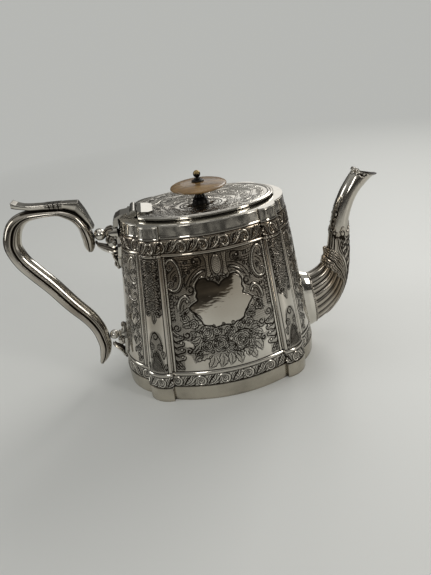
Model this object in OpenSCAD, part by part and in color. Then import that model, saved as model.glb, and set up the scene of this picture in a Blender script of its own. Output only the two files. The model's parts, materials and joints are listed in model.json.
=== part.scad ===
// Oval Victorian teapot with corner pilasters, a fluted swan-neck spout and a hinged lid.
// The origin is at the middle of the base. +X points to the spout and +Z up. Millimetres.

/* [Body] */
// Height of the flat rim above the table
body_height = 130.4; // [118:0.2:145]
// Length over the end panels at the foot
foot_length = 152; // [140:1:164]
// Width over the front and back panels at the foot
foot_width = 106; // [96:1:116]
// Length over the end panels at the rim
rim_length = 114.6; // [110:0.2:122]
// Width over the front and back panels at the rim
rim_width = 79.2; // [76:0.2:86]
// Thickness of the raised wall
wall = 1.2; // [0.8:0.1:2]
// Half length of the front panel at the foot
front_panel_half = 42.7; // [38:0.1:46]
// How far the front panel bows out at the foot
front_panel_bow = 8.6; // [6:0.1:11]
// Half width of the end panel at the foot
end_panel_half = 31; // [28:0.1:33]
// How far the end panel bows out at the foot
end_panel_bow = 15.6; // [13:0.1:18]
// How far a pilaster stands proud of the front panel
pilaster_step = 2.1; // [1:0.1:3]
// Depth of a pilaster's cheek beside the end panel
pilaster_cheek = 5.8; // [4:0.1:7]
// How far a pilaster's face bows out
pilaster_bow = 2.6; // [1:0.1:4]

/* [Foot and rim] */
// Height of the plain foot band
foot_height = 12; // [8:0.5:16]
// Thickness of the foot band
foot_wall = 2; // [1.6:0.1:3]
// How far the wall is set back on the foot band
foot_set_back = 0.6; // [0.2:0.1:0.8]
// Height of the bottom plate's underside
bottom_rise = 4; // [2:0.5:6]
// Thickness of the bottom plate
bottom_plate_t = 1.2; // [0.8:0.1:2]
// Thickness of the rim plate
rim_plate_t = 0.8; // [0.6:0.1:2]
// How far the rim plate's edge stands out over the wall
rim_overhang = 0.2; // [0.2:0.1:1]

/* [Lid] */
// Length of the lid's oval
lid_length = 102; // [98:0.5:106]
// Width of the lid's oval
lid_width = 66.6; // [62:0.2:70]
// Thickness of the lid at its edge
lid_edge_t = 1.1; // [0.8:0.1:2]
// Depth of the dish in the lid's middle below its edge
lid_dish = 3.5; // [1:0.1:4]
// Height of the lid's underside over the rim
lid_lift = 0.9; // [0.8:0.1:2]
// How far the lid's edge stands out over the mouth
lid_overhang = 1.9; // [1.4:0.1:2.6]
// Depth of the bezel below the rim
bezel_depth = 5; // [3:0.5:6]
// Thickness of the bezel
bezel_wall = 1; // [0.8:0.1:1.6]
// Clearance between the bezel and the mouth
bezel_gap = 0.6; // [0.5:0.1:1]
// Diameter of the steam vent
vent_d = 2; // [1.2:0.1:3]
// Distance of the steam vent from the finial's axis
vent_offset = 8.5; // [7.5:0.5:14]

/* [Hinge] */
// Distance of the hinge pin inside the end of the lid's oval
hinge_inset = 4.5; // [3.5:0.1:6]
// Diameter of the hinge pin
pin_d = 1.6; // [1.2:0.1:2]
// Outer diameter of the hinge barrel
barrel_d = 4.8; // [4.4:0.1:5.2]
// Length of the hinge barrel
barrel_length = 20; // [18:0.5:24]
// Length of the lid's knuckle in the middle of the barrel
lid_knuckle = 8; // [5:0.1:10]
// Radial clearance of the pin in the lid's knuckle
pin_clearance = 0.05; // [0.01:0.01:0.1]
// Gap between neighbouring knuckles
knuckle_gap = 0.3; // [0.2:0.05:0.5]
// Length of the leaf on the lid
leaf_length = 12.5; // [8:0.5:14]
// Width of the leaf on the lid
leaf_width = 22; // [14:0.5:24]
// Thickness of the leaf on the lid
leaf_t = 1.4; // [1:0.1:2]

/* [Finial] */
// Height of the dark stem
stem_height = 10.7; // [8:0.1:13]
// Diameter of the stem's foot
stem_d = 12; // [10:0.1:13]
// Diameter of the stem's neck
neck_d = 6.2; // [4.4:0.1:7]
// Diameter of the bone disc
disc_d = 38.8; // [30:0.2:44]
// Thickness of the bone disc
disc_t = 5.6; // [4:0.1:8]
// Height of the dark collar on the disc
collar_height = 2.5; // [2:0.1:6]
// Diameter of the dark collar
collar_d = 8.5; // [7:0.1:10]
// Diameter of the ball nut
nut_d = 5; // [4.4:0.1:7]
// Diameter of the threaded stud
stud_d = 2.4; // [1.8:0.1:2.8]
// Radial clearance of the stud in the pieces that it holds
stud_clearance = 0.05; // [0.01:0.01:0.1]
// Span of the wing nut under the lid
wing_span = 15; // [10:0.5:17]

/* [Spout] */
// Height of the spout's lowest point where it meets the wall
spout_low = 12.7; // [12.5:0.1:18]
// Height of the spout's highest point where it meets the wall
spout_high = 61; // [54:0.5:66]
// Width of the spout where it meets the wall
spout_width = 18; // [16:0.5:24]
// Width of the spout's neck
neck_width = 12; // [10:0.5:14]
// Distance from the wall's foot to the back of the neck
spout_reach = 33; // [29:0.5:38]
// Height of the lip over the rim
lip_rise = 1.2; // [-4:0.2:8]
// Thickness of the spout's wall
spout_wall = 1.3; // [1:0.1:1.8]
// Number of flutes round the lower spout
flute_count = 12; // [8:2:14]
// Depth of the flutes
flute_depth = 1.5; // [0.6:0.1:2]
// Width of the plain collar that joins the spout to the wall
collar_width = 6.6; // [4:0.2:8]
// Thickness of the collar and the leaf where they lie on the spout
trim_t = 1; // [0.6:0.1:1.6]
// Diameter of a strainer hole
strainer_d = 3; // [2:0.2:3.6]
// Distance between neighbouring strainer holes
strainer_pitch = 5.6; // [5:0.2:8]

/* [Handle] */
// Height of the upper bead under the rim
upper_bead_drop = 10.6; // [9:0.2:16]
// Height of the lower bead
lower_bead_z = 38; // [34:0.5:48]
// Distance from the wall to the middle of the upper bead
upper_bead_reach = 13.4; // [12:0.2:16]
// Distance from the wall to the middle of the lower bead
lower_bead_reach = 9.6; // [9:0.2:12]
// Diameter of the upper bead
upper_bead_d = 8.4; // [7:0.2:9]
// Diameter of the lower bead
lower_bead_d = 7.4; // [6.4:0.2:8]
// Distance from the upper bead to the back of the handle
handle_reach = 58; // [52:0.5:64]
// Height of the handle's arch over the upper bead
handle_rise = 21; // [18:0.5:23]
// How far the handle's tail reaches below the lower bead
tail_drop = 23; // [18:0.5:24]
// Thickness of the handle where it is thickest
handle_t = 12.6; // [10:0.2:14]
// Width of the handle
handle_width = 11; // [9:0.2:13]
// Width of the grip plate
grip_width = 8; // [6:0.2:9]
// Thickness of the grip plate
grip_t = 3.6; // [2.4:0.1:5]

/* [Hidden] */
$fn = 48;

silver = "silver";
dark_metal = "dimgray";
bone = "wheat";

// The gap of a soldered seat
seat = 0.1;
// How far a cut runs past the face that it opens
past = 1;

// ---- Plain helpers ----

function mix(a, b, t) = a + (b - a) * t;
function clamp01(t) = max(0, min(1, t));
function smooth(t) = let (c = clamp01(t)) c * c * (3 - 2 * c);
function mean(list) = [for (k = [0:2]) sum([for (p = list) p[k]]) / len(list)];
function sum(list, i = 0) = i < len(list) ? list[i] + sum(list, i + 1) : 0;
function reversed(list) = [for (i = [len(list) - 1:-1:0]) list[i]];

// A smooth curve through a list of stations, at t = 0 for the first and 1 for the last.
function along(stations, t) =
    let (last = len(stations) - 1,
         s = clamp01(t) * last,
         i = min(floor(s), last - 1),
         f = s - i,
         p1 = stations[i],
         p2 = stations[i + 1],
         p0 = i > 0 ? stations[i - 1] : 2 * p1 - p2,
         p3 = i + 2 <= last ? stations[i + 2] : 2 * p2 - p1)
    0.5 * (2 * p1 + f * (p2 - p0) + f * f * (2 * p0 - 5 * p1 + 4 * p2 - p3)
        + f * f * f * (3 * p1 - p0 - 3 * p2 + p3));

// The two triangles of each quad between ring a and ring b, which start at points ia and ib.
function ring_faces(ia, ib, n) =
    [for (i = [0:n - 1]) each [
        [ia + i, ia + (i + 1) % n, ib + i],
        [ia + (i + 1) % n, ib + (i + 1) % n, ib + i]]];

// A solid between rings that run from its bottom to its top.
module solid_skin(rings) {
    n = len(rings[0]);
    m = len(rings);
    low = n * m;
    high = low + 1;
    polyhedron(
        points = concat([for (r = rings) each r], [mean(rings[0]), mean(rings[m - 1])]),
        faces = concat(
            [for (i = [0:n - 1]) [low, (i + 1) % n, i]],
            [for (j = [0:m - 2]) each ring_faces(j * n, (j + 1) * n, n)],
            [for (i = [0:n - 1]) [high, (m - 1) * n + i, (m - 1) * n + (i + 1) % n]]),
        convexity = 8);
}

// A tube: the rings run up the outside and down the inside, and close on the first one.
module tube_skin(rings) {
    n = len(rings[0]);
    m = len(rings);
    polyhedron(
        points = [for (r = rings) each r],
        faces = [for (j = [0:m - 1]) each ring_faces(j * n, ((j + 1) % m) * n, n)],
        convexity = 10);
}

// Points of an oval, [half length, half width].
function oval(a, b, n = 96) = [for (i = [0:n - 1]) [a * cos(360 * i / n), b * sin(360 * i / n)]];

// ---- Plan of the body ----

foot_a = foot_length / 2;
foot_b = foot_width / 2;
rim_a = rim_length / 2;
rim_b = rim_width / 2;
arc_steps = 8;
face_steps = 5;

// Radius of a panel with the given half chord and bow.
function bow_radius(half, bow) = (half * half + bow * bow) / (2 * bow);

// A bowed panel from its crown to its edge: [distance along the chord, height over the chord].
function bowed(half, bow) =
    let (r = bow_radius(half, bow), sweep = asin(half / r))
    [for (i = [0:arc_steps]) let (t = sweep * i / arc_steps) [r * sin(t), r * cos(t) - (r - bow)]];

// A quadratic curve.
function bend(a, k, c, t) = (1 - t) * (1 - t) * a + 2 * t * (1 - t) * k + t * t * c;

end_edge = [foot_a - end_panel_bow, end_panel_half];
front_edge = [front_panel_half, foot_b - front_panel_bow];
pilaster_end = end_edge + [-0.15, 1] * pilaster_cheek;
pilaster_front = front_edge + [0.3, 1] * pilaster_step;
pilaster_crown = (pilaster_end + pilaster_front) / 2 + [0.55, 0.83] * 2 * pilaster_bow;

// A quarter of the plan at the foot, from the middle of the end to the middle of the front.
quarter = concat(
    [for (p = bowed(end_panel_half, end_panel_bow)) [end_edge[0] + p[1], p[0]]],
    [for (i = [0:face_steps]) bend(pilaster_end, pilaster_crown, pilaster_front, i / face_steps)],
    reversed([for (p = bowed(front_panel_half, front_panel_bow)) [p[0], front_edge[1] + p[1]]]));

quarter_inside = [for (i = [1:len(quarter) - 2]) quarter[i]];
plan = concat(
    [quarter[0]], quarter_inside, [[0, foot_b]],
    [for (p = reversed(quarter_inside)) [-p[0], p[1]]], [[-foot_a, 0]],
    [for (p = quarter_inside) [-p[0], -p[1]]], [[0, -foot_b]],
    [for (p = reversed(quarter_inside)) [p[0], -p[1]]]);

// The plan at another half length and half width.
function plan_at(a, b) = [for (p = plan) [p[0] * a / foot_a, p[1] * b / foot_b]];

// The left-hand normal of the edge from a to b.
function edge_normal(a, b) = [a[1] - b[1], b[0] - a[0]] / norm(b - a);

// A closed outline moved inward by d, edge by edge.
function inset(outline, d) =
    let (n = len(outline))
    [for (i = [0:n - 1])
        let (before = edge_normal(outline[(i + n - 1) % n], outline[i]),
             after = edge_normal(outline[i], outline[(i + 1) % n]))
        outline[i] + d * (before + after) / (1 + before * after)];

// ---- Wall of the body ----

wall_top = body_height - rim_plate_t;
function wall_a(z) = mix(foot_a - foot_set_back, rim_a, (z - foot_height) / (body_height - foot_height));
function wall_b(z) = mix(foot_b - foot_set_back, rim_b, (z - foot_height) / (body_height - foot_height));
function wall_ring(z, depth) =
    [for (p = reversed(inset(plan_at(wall_a(z), wall_b(z)), depth))) [p[0], p[1], z]];

end_radius = bow_radius(end_panel_half, end_panel_bow);
// How far the outside of an end panel stands from the middle, at a given y and z.
function wall_x(y, z) =
    let (ka = wall_a(z) / foot_a, kb = wall_b(z) / foot_b)
    ka * (foot_a - end_radius + sqrt(pow(end_radius, 2) - pow(y / kb, 2)));

wall_levels = [0, 0.5, 1];
module body_wall() {
    function level(t) = mix(foot_height, wall_top, t);
    tube_skin(concat(
        [for (t = wall_levels) wall_ring(level(t), 0)],
        [for (t = reversed(wall_levels)) wall_ring(level(t), wall)]));
}

// Strainer holes lie in staggered rows inside the spout's seat.
spout_mid = (spout_low + spout_high) / 2;
strainer_border = 2.6;
strainer_half_z = (spout_high - spout_low) / 2 - spout_wall - strainer_border - strainer_d / 2;
strainer_half_y = spout_width / 2 - spout_wall - strainer_border - strainer_d / 2;
strainer_rows = floor(strainer_half_z / strainer_pitch);
strainer_reach = ceil(strainer_half_y / strainer_pitch) + 1;
strainer_spots = [
    for (row = [-strainer_rows:strainer_rows])
    for (col = [-strainer_reach:strainer_reach])
    let (z = row * strainer_pitch, y = (col + (row % 2 == 0 ? 0 : 0.5)) * strainer_pitch)
    if (pow(z / strainer_half_z, 2) + pow(y / strainer_half_y, 2) <= 1) [y, spout_mid + z]];

module body_shell() {
    color(silver) difference() {
        body_wall();
        for (spot = strainer_spots)
            translate([wall_x(spot[0], spot[1]) - 2 * wall - past, spot[0], spot[1]])
                rotate([0, 90, 0]) cylinder(d = strainer_d, h = 3 * wall + 2 * past);
    }
}

// ---- Foot and rim ----

module foot_band() {
    color(silver) linear_extrude(height = foot_height) difference() {
        polygon(plan);
        polygon(inset(plan, foot_wall));
    }
}

module bottom_plate() {
    color(silver) translate([0, 0, bottom_rise]) linear_extrude(height = bottom_plate_t)
        polygon(inset(plan, foot_wall + seat));
}

hinge_x = lid_length / 2 - hinge_inset;
mouth_a = lid_length / 2 - lid_overhang;
mouth_b = lid_width / 2 - lid_overhang;
// The mouth and the bezel stop short of the hinge at a straight edge.
mouth_stop = hinge_x - barrel_d / 2 - 0.6;

// An oval cut off straight on the hinge side.
module cut_oval(a, b, stop) {
    intersection() {
        polygon(oval(a, b));
        translate([-stop, -2 * b]) square([stop + 2 * a, 4 * b]);
    }
}

module rim_plate() {
    color(silver) translate([0, 0, wall_top]) linear_extrude(height = rim_plate_t) difference() {
        polygon(inset(plan_at(rim_a, rim_b), -rim_overhang));
        cut_oval(mouth_a, mouth_b, mouth_stop);
    }
}

// ---- Lid ----

lid_under = body_height + lid_lift;
lid_edge_top = lid_under + lid_edge_t;
lid_middle = lid_edge_top - lid_dish;
lid_a = lid_length / 2;
lid_b = lid_width / 2;
lid_stop = hinge_x - barrel_d / 2 - knuckle_gap;
// Shares of the lid inside its flat border and inside the finial's flat seat
dish_share = 0.88;
seat_share = 0.2;
dish_shares = [seat_share, 0.35, 0.5, 0.65, 0.78, dish_share];

// How far the lid lies below its edge, at a share of its half width.
function dish_depth(share) =
    lid_dish * pow(max(0, 1 - pow((share - seat_share) / (dish_share - seat_share), 2)), 1.3);
// Where the lid's flat border ends on the hinge side, and the same for any share
function lid_left(share) = lid_stop * min(1, mix(1, share, 0.5));

// A ring of the lid that stops at the straight edge by the hinge.
function lid_ring(share, z) =
    [for (p = reversed(oval(lid_a, lid_b, 64)))
        [max(p[0] * share, -lid_left(share)), p[1] * share, z]];

module lid_plate() {
    hole_z = lid_middle - lid_edge_t - past;
    hole_h = lid_dish + lid_edge_t + 2 * past;
    color(silver) difference() {
        solid_skin(concat(
            [for (share = dish_shares) lid_ring(share, lid_under - dish_depth(share))],
            [lid_ring(1, lid_under), lid_ring(1, lid_edge_top)],
            [for (share = reversed(dish_shares)) lid_ring(share, lid_edge_top - dish_depth(share))]));
        translate([0, 0, hole_z]) cylinder(d = stud_hole_d, h = hole_h);
        translate([vent_offset, 0, hole_z]) cylinder(d = vent_d, h = hole_h);
    }
}

bezel_a = mouth_a - bezel_gap;
bezel_b = mouth_b - bezel_gap;
bezel_stop = mouth_stop - bezel_gap;
shoulder_over = 0.9;
shoulder_gap = 0.3;

// The bezel with the small shoulder that stops it on the rim.
module lid_bezel() {
    color(silver) {
        translate([0, 0, body_height - bezel_depth])
            linear_extrude(height = bezel_depth + lid_lift) difference() {
                cut_oval(bezel_a, bezel_b, bezel_stop);
                cut_oval(bezel_a - bezel_wall, bezel_b - bezel_wall, bezel_stop - bezel_wall);
            }
        translate([0, 0, body_height + shoulder_gap])
            linear_extrude(height = lid_lift - shoulder_gap) difference() {
                cut_oval(mouth_a + shoulder_over, mouth_b + shoulder_over, bezel_stop);
                cut_oval(bezel_a - bezel_wall, bezel_b - bezel_wall, bezel_stop - bezel_wall);
            }
    }
}

// ---- Hinge ----

leaf_z = lid_edge_top + seat;
pin_z = leaf_z + leaf_t / 2;
leaf_tilt = 1.1;
knuckle_r = barrel_d / 2;
leaf_chamfer = 3;

// Places its children on the hinge axis, with their Z along it.
module on_hinge(y) {
    translate([-hinge_x, y, pin_z]) rotate([-90, 0, 0]) children();
}

pin_bore = pin_d + 2 * pin_clearance;

// The leaf bends down into the dish. Its plan has two chamfered corners.
module lid_hinge_leaf() {
    half = leaf_width / 2;
    left = -hinge_x + knuckle_r + knuckle_gap;
    right = left + leaf_length - knuckle_r;
    bend = -lid_left(dish_share);
    color(silver) difference() {
        union() {
            intersection() {
                translate([0, 0, leaf_z - leaf_t]) linear_extrude(height = 3 * leaf_t) polygon([
                    [left, -half], [right - leaf_chamfer, -half], [right, -half + leaf_chamfer],
                    [right, half - leaf_chamfer], [right - leaf_chamfer, half], [left, half]]);
                translate([0, half, 0]) rotate([90, 0, 0]) linear_extrude(height = leaf_width) polygon([
                    [left, leaf_z], [bend, leaf_z], [right, leaf_z - leaf_tilt],
                    [right, leaf_z - leaf_tilt + leaf_t], [bend, leaf_z + leaf_t], [left, leaf_z + leaf_t]]);
            }
            translate([-hinge_x, -lid_knuckle / 2, leaf_z])
                cube([knuckle_r + knuckle_gap + past, lid_knuckle, leaf_t * 0.9]);
            on_hinge(-lid_knuckle / 2) cylinder(r = knuckle_r, h = lid_knuckle);
        }
        on_hinge(-barrel_length) cylinder(d = pin_bore, h = 2 * barrel_length);
    }
}

fixed_knuckle = (barrel_length - lid_knuckle) / 2 - knuckle_gap;
strap_width = 13;
strap_t = 3.6;
strap_drop = 5.2;
bar_t = 1.5;

module hinge_bracket() {
    outside = -wall_x(0, body_height) - rim_overhang - seat;
    outside_low = -wall_x(0, body_height - strap_drop) - seat;
    bar_x = -hinge_x - knuckle_r - knuckle_gap - bar_t;
    color(silver) difference() {
        union() {
            for (from = [-barrel_length / 2, barrel_length / 2 - fixed_knuckle]) {
                on_hinge(from) cylinder(r = knuckle_r, h = fixed_knuckle);
                translate([bar_x, from, body_height + seat])
                    cube([-hinge_x - bar_x, fixed_knuckle, pin_z - body_height - seat]);
            }
            rotate([90, 0, 0]) translate([0, 0, -strap_width / 2]) linear_extrude(height = strap_width)
                polygon([
                    [bar_x + bar_t, body_height + seat],
                    [outside, body_height + seat],
                    [outside, wall_top],
                    [outside_low, body_height - strap_drop],
                    [outside_low - strap_t, body_height - strap_drop],
                    [outside - strap_t, body_height - strap_t / 2],
                    [outside - strap_t / 2, body_height + strap_t / 4],
                    [outside + strap_t / 2, body_height + strap_t * 0.7],
                    [bar_x - 1, pin_z],
                    [bar_x + bar_t, pin_z]]);
            translate([bar_x, -barrel_length / 2, body_height + seat])
                cube([bar_t, barrel_length, pin_z - body_height - seat]);
        }
        on_hinge(-barrel_length) cylinder(d = pin_d, h = 2 * barrel_length);
    }
}

module hinge_pin() {
    color(silver) on_hinge(-barrel_length / 2) cylinder(d = pin_d, h = barrel_length);
}

// ---- Finial ----

stud_hole_d = stud_d + 2 * stud_clearance;
stem_z = lid_middle;
disc_z = stem_z + stem_height;
collar_z = disc_z + disc_t;
nut_z = collar_z + collar_height;
wing_height = 4;
nut_under = lid_middle - lid_edge_t;
stud_low = nut_under - wing_height - 0.6;
stud_top = nut_z + nut_d / 2;

// A turned piece that is bored for the stud.
module turned(z, outline) {
    translate([0, 0, z]) rotate_extrude() polygon(concat(
        [[stud_hole_d / 2, outline[0][1]]], outline, [[stud_hole_d / 2, outline[len(outline) - 1][1]]]));
}

module finial_stem() {
    foot_r = stem_d / 2;
    neck_r = neck_d / 2;
    h = stem_height;
    color(dark_metal) turned(stem_z, [
        [foot_r, 0], [foot_r, h * 0.14], [foot_r * 0.94, h * 0.18], [foot_r * 0.9, h * 0.36],
        [mix(foot_r, neck_r, 0.4), h * 0.44], [mix(foot_r, neck_r, 0.8), h * 0.56],
        [neck_r, h * 0.72], [neck_r, h * 0.84], [neck_r + 0.8, h * 0.9], [neck_r + 0.8, h]]);
}

disc_flat_angle = 72;
edge_steps = 14;

// A disc with a lens-shaped section and flat seats in its middle.
module finial_disc() {
    color(bone) turned(disc_z, [for (i = [0:edge_steps])
        let (t = disc_flat_angle * (2 * i / edge_steps - 1))
        [disc_d / 2 * cos(t), disc_t / 2 * (1 + sin(t) / sin(disc_flat_angle))]]);
}

module finial_collar() {
    r = collar_d / 2;
    h = collar_height;
    color(dark_metal) turned(collar_z, [
        [r, 0], [r, h * 0.3], [r * 0.8, h * 0.5], [r * 0.5, h * 0.7], [r * 0.46, h]]);
}

module finial_nut() {
    color(dark_metal) difference() {
        translate([0, 0, nut_z + nut_d / 2]) sphere(d = nut_d);
        translate([0, 0, nut_z - past]) cylinder(d = stud_hole_d, h = past + nut_d / 2 + seat);
    }
}

module finial_stud() {
    color(dark_metal) translate([0, 0, stud_low]) cylinder(d = stud_d, h = stud_top - stud_low);
}

module finial_wing_nut() {
    hub = stud_d + 4;
    wing_t = 1.6;
    low = nut_under - wing_height;
    color(silver) difference() {
        union() {
            translate([0, 0, low]) cylinder(d = hub, h = wing_height);
            for (side = [0, 180]) rotate([0, 0, side]) translate([0, wing_t / 2, 0]) rotate([90, 0, 0])
                linear_extrude(height = wing_t) polygon([
                    [stud_d, low + 0.8], [wing_span / 2, low], [wing_span / 2, low + 2.4],
                    [stud_d, nut_under - 0.4]]);
        }
        translate([0, 0, low - past]) cylinder(d = stud_hole_d, h = wing_height + 2 * past);
    }
}

// ---- Spout ----

// Stations of the spout from the wall to the lip: [inner x, inner z, outer x, outer z, half width].
wall_foot = wall_x(0, spout_low);
neck_x = wall_foot + spout_reach;
spout_half = spout_width / 2;
neck_half = neck_width / 2;
lip_z = body_height + lip_rise;
drawn_reach = 33;
reach = spout_reach / drawn_reach;
spout_stations = [
    [wall_x(0, spout_high), spout_high, wall_foot, spout_low, spout_half],
    [wall_foot - 0.5 * reach, spout_high - reach, wall_foot + 6.5 * reach, spout_low + 1.5 * reach,
        spout_half],
    [wall_foot + 5 * reach, spout_high + 0.5 * reach, wall_foot + 16 * reach, spout_low + 7.5 * reach,
        spout_half],
    [wall_foot + 10.5 * reach, spout_high + 4 * reach, wall_foot + 25 * reach, spout_low + 17 * reach,
        spout_half - 0.3],
    [neck_x - 18.5 * reach, spout_high + 9.5 * reach, neck_x - 2 * reach, spout_low + 29 * reach,
        mix(spout_half, neck_half, 0.45)],
    [neck_x - 16.5 * reach, spout_high + 15.5 * reach, neck_x + 0.8 * reach, spout_low + 42 * reach,
        mix(spout_half, neck_half, 0.8)],
    [neck_x - 15.6 * reach, spout_high + 22 * reach, neck_x + 1.4 * reach, mix(spout_low, lip_z, 0.49),
        neck_half],
    [neck_x - 14.8 * reach, mix(spout_high, lip_z, 0.41), neck_x + 0.6 * reach,
        mix(spout_high, lip_z, 0.35), neck_half],
    [neck_x - 13.2 * reach, lip_z - 32 * reach, neck_x + 0.2 * reach, lip_z - 33 * reach, neck_half],
    [neck_x - 10.8 * reach, lip_z - 21 * reach, neck_x + 2.4 * reach, lip_z - 22.5 * reach, neck_half],
    [neck_x - 6.5 * reach, lip_z - 10.2 * reach, neck_x + 6.4 * reach, lip_z - 13.4 * reach, neck_half],
    [neck_x - 1.6 * reach, lip_z - 2 * reach, neck_x + 11.5 * reach, lip_z - 7.6 * reach, neck_half],
    [neck_x + 1.6 * reach, lip_z + 2.4 * reach, neck_x + 16 * reach, lip_z - 3.6 * reach,
        neck_half - 0.3],
    [neck_x + 4.4 * reach, lip_z + 5.2 * reach, neck_x + 20.5 * reach, lip_z - reach, neck_half - 0.8]];

flute_points = 4;
spout_points = flute_count * flute_points;
flutes_start = 1 / (len(spout_stations) - 1);
flutes_end = 5.4 / (len(spout_stations) - 1);

// How deep the flutes are at a place along the spout.
function flute_share(t) =
    smooth((t - flutes_start) * 14) * (1 - smooth((t - flutes_end + 0.08) * 12));

// A section of the spout, inset from its outside, with or without its flutes.
function spout_ring(t, inset, fluted) =
    let (s = along(spout_stations, t),
         mid = [(s[0] + s[2]) / 2, (s[1] + s[3]) / 2],
         axis = [s[0] - s[2], s[1] - s[3]] / 2,
         half = norm(axis),
         up = axis / half)
    [for (i = [0:spout_points - 1])
        let (a = 360 * i / spout_points,
             groove = fluted * flute_depth * flute_share(t) * (1 - abs(sin(a * flute_count / 2))),
             u = (half - inset - groove) * cos(a),
             v = (s[4] - inset - groove) * sin(a))
        [mid[0] + up[0] * u, v, mid[1] + up[1] * u]];

// The same section pushed onto the wall above the foot band, where the spout meets it.
function on_wall(ring, gap) =
    [for (p = ring) let (z = max(p[2], foot_height + seat)) [wall_x(p[1], z) + gap, p[1], z]];

// Places of the sections along the spout. The collar ends at one of them.
spout_length = 90;
collar_end = collar_width / spout_length;
spout_steps = 23;
spout_places = concat([collar_end / 2], [for (j = [0:spout_steps]) mix(collar_end, 1, j / spout_steps)]);
bore_steps = 9;
module spout() {
    color(silver) tube_skin(concat(
        [on_wall(spout_ring(0, 0, 0), seat)],
        [for (t = spout_places) spout_ring(t, 0, 1)],
        [for (j = [bore_steps:-1:1]) spout_ring(j / bore_steps, spout_wall + flute_depth
            * flute_share(j / bore_steps), 0)],
        [on_wall(spout_ring(0, spout_wall, 0), seat)]));
}

// The plain collar lies on the spout's foot and its flange spreads on the wall.
flange_out = 0.5;
flange_t = 0.6;
module spout_collar() {
    out = -trim_t - seat;
    color(silver) tube_skin([
        on_wall(spout_ring(0, out - flange_out, 0), seat),
        on_wall(spout_ring(0, out - flange_out, 0), seat + flange_t),
        on_wall(spout_ring(0, out, 0), seat + 2 * flange_t),
        spout_ring(collar_end / 2, out, 0),
        spout_ring(collar_end, -seat - trim_t * 0.4, 0),
        spout_ring(collar_end, -seat, 0),
        spout_ring(collar_end / 2, -seat, 0),
        on_wall(spout_ring(0, -seat, 0), seat)]);
}

// The acanthus leaf is a sleeve round the spout above the flutes, with its edges turned out.
// It climbs the outside of the bend.
last_station = len(spout_stations) - 1;
leaf_low = 4.6 / last_station;
leaf_high_inside = 5.5 / last_station;
leaf_high_outside = 7.2 / last_station;
leaf_scallops = 9;
leaf_seat = 2 * seat;
leaf_steps = 8;
leaf_thick = [2.2, 1.4, 1, 0.9, 0.9, 1, 1.2, 1.6, 2.4];
function leaf_ring(share, out) =
    [for (i = [0:spout_points - 1])
        let (a = 360 * i / spout_points,
             high = mix(leaf_high_inside, leaf_high_outside, smooth((0.2 - cos(a)) / 0.9)),
             ripple = 0.01 * cos(a * leaf_scallops),
             t = mix(leaf_low + ripple, high - ripple, share))
        spout_ring(t, -out, 0)[i]];
module spout_leaf() {
    color(silver) tube_skin(concat(
        [for (j = [0:leaf_steps]) leaf_ring(j / leaf_steps, leaf_seat + trim_t * leaf_thick[j])],
        [for (j = [leaf_steps:-1:0]) leaf_ring(j / leaf_steps, leaf_seat)]));
}

// ---- Handle ----

upper_bead_z = body_height - upper_bead_drop;
upper_bead_x = wall_x(0, upper_bead_z) + upper_bead_reach;
lower_bead_x = wall_x(0, lower_bead_z) + lower_bead_reach;
boss_d = 5;
boss_gap = 0.15;
upper_boss = upper_bead_x + upper_bead_d * 0.45 + boss_gap;
lower_boss = lower_bead_x + lower_bead_d * 0.45 + boss_gap;
back_x = upper_bead_x + handle_reach;

arch_span = back_x - upper_boss;
grip_drop = upper_bead_z - lower_bead_z;
grip_lean = back_x - lower_boss;

// Centre line from the upper end to the tail: [distance behind the middle, height, thickness].
handle_stations = [
    [upper_boss + 0.4 * handle_t, upper_bead_z - 0.83 * handle_t, handle_t * 0.3],
    [upper_boss + 0.38 * handle_t, upper_bead_z - 0.56 * handle_t, handle_t * 0.58],
    [upper_boss + 0.35 * handle_t, upper_bead_z - 0.08 * handle_t, handle_t * 0.66],
    [upper_boss + 0.45 * handle_t, upper_bead_z + 0.38 * handle_rise, handle_t * 0.6],
    [upper_boss + 0.75 * handle_t, upper_bead_z + 0.7 * handle_rise, handle_t * 0.58],
    [upper_boss + 0.29 * arch_span, upper_bead_z + 0.9 * handle_rise, handle_t * 0.5],
    [upper_boss + 0.38 * arch_span, upper_bead_z + 0.97 * handle_rise, handle_t * 0.4],
    [upper_boss + 0.58 * arch_span, upper_bead_z + handle_rise, handle_t * 0.46],
    [upper_boss + 0.75 * arch_span, upper_bead_z + 0.97 * handle_rise, handle_t * 0.6],
    [upper_boss + 0.88 * arch_span, upper_bead_z + 0.78 * handle_rise, handle_t * 0.8],
    [upper_boss + 0.96 * arch_span, upper_bead_z + 0.46 * handle_rise, handle_t * 0.9],
    [back_x, upper_bead_z + 0.05 * handle_rise, handle_t * 0.94],
    [back_x - 0.06 * grip_lean, upper_bead_z - 0.12 * grip_drop, handle_t * 0.97],
    [back_x - 0.19 * grip_lean, upper_bead_z - 0.245 * grip_drop, handle_t],
    [back_x - 0.37 * grip_lean, upper_bead_z - 0.4 * grip_drop, handle_t],
    [back_x - 0.57 * grip_lean, upper_bead_z - 0.6 * grip_drop, handle_t],
    [lower_boss + 0.87 * handle_t, lower_bead_z + 1.51 * handle_t, handle_t * 0.95],
    [lower_boss + 0.54 * handle_t, lower_bead_z + 0.71 * handle_t, handle_t * 0.88],
    [lower_boss + 0.43 * handle_t, lower_bead_z, handle_t * 0.82],
    [lower_boss + 0.43 * handle_t, lower_bead_z - 0.365 * tail_drop, handle_t * 0.76],
    [lower_boss + 0.635 * handle_t, lower_bead_z - 0.74 * tail_drop, handle_t * 0.6],
    [lower_boss + 0.92 * handle_t, lower_bead_z - tail_drop, handle_t * 0.26]];

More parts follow.
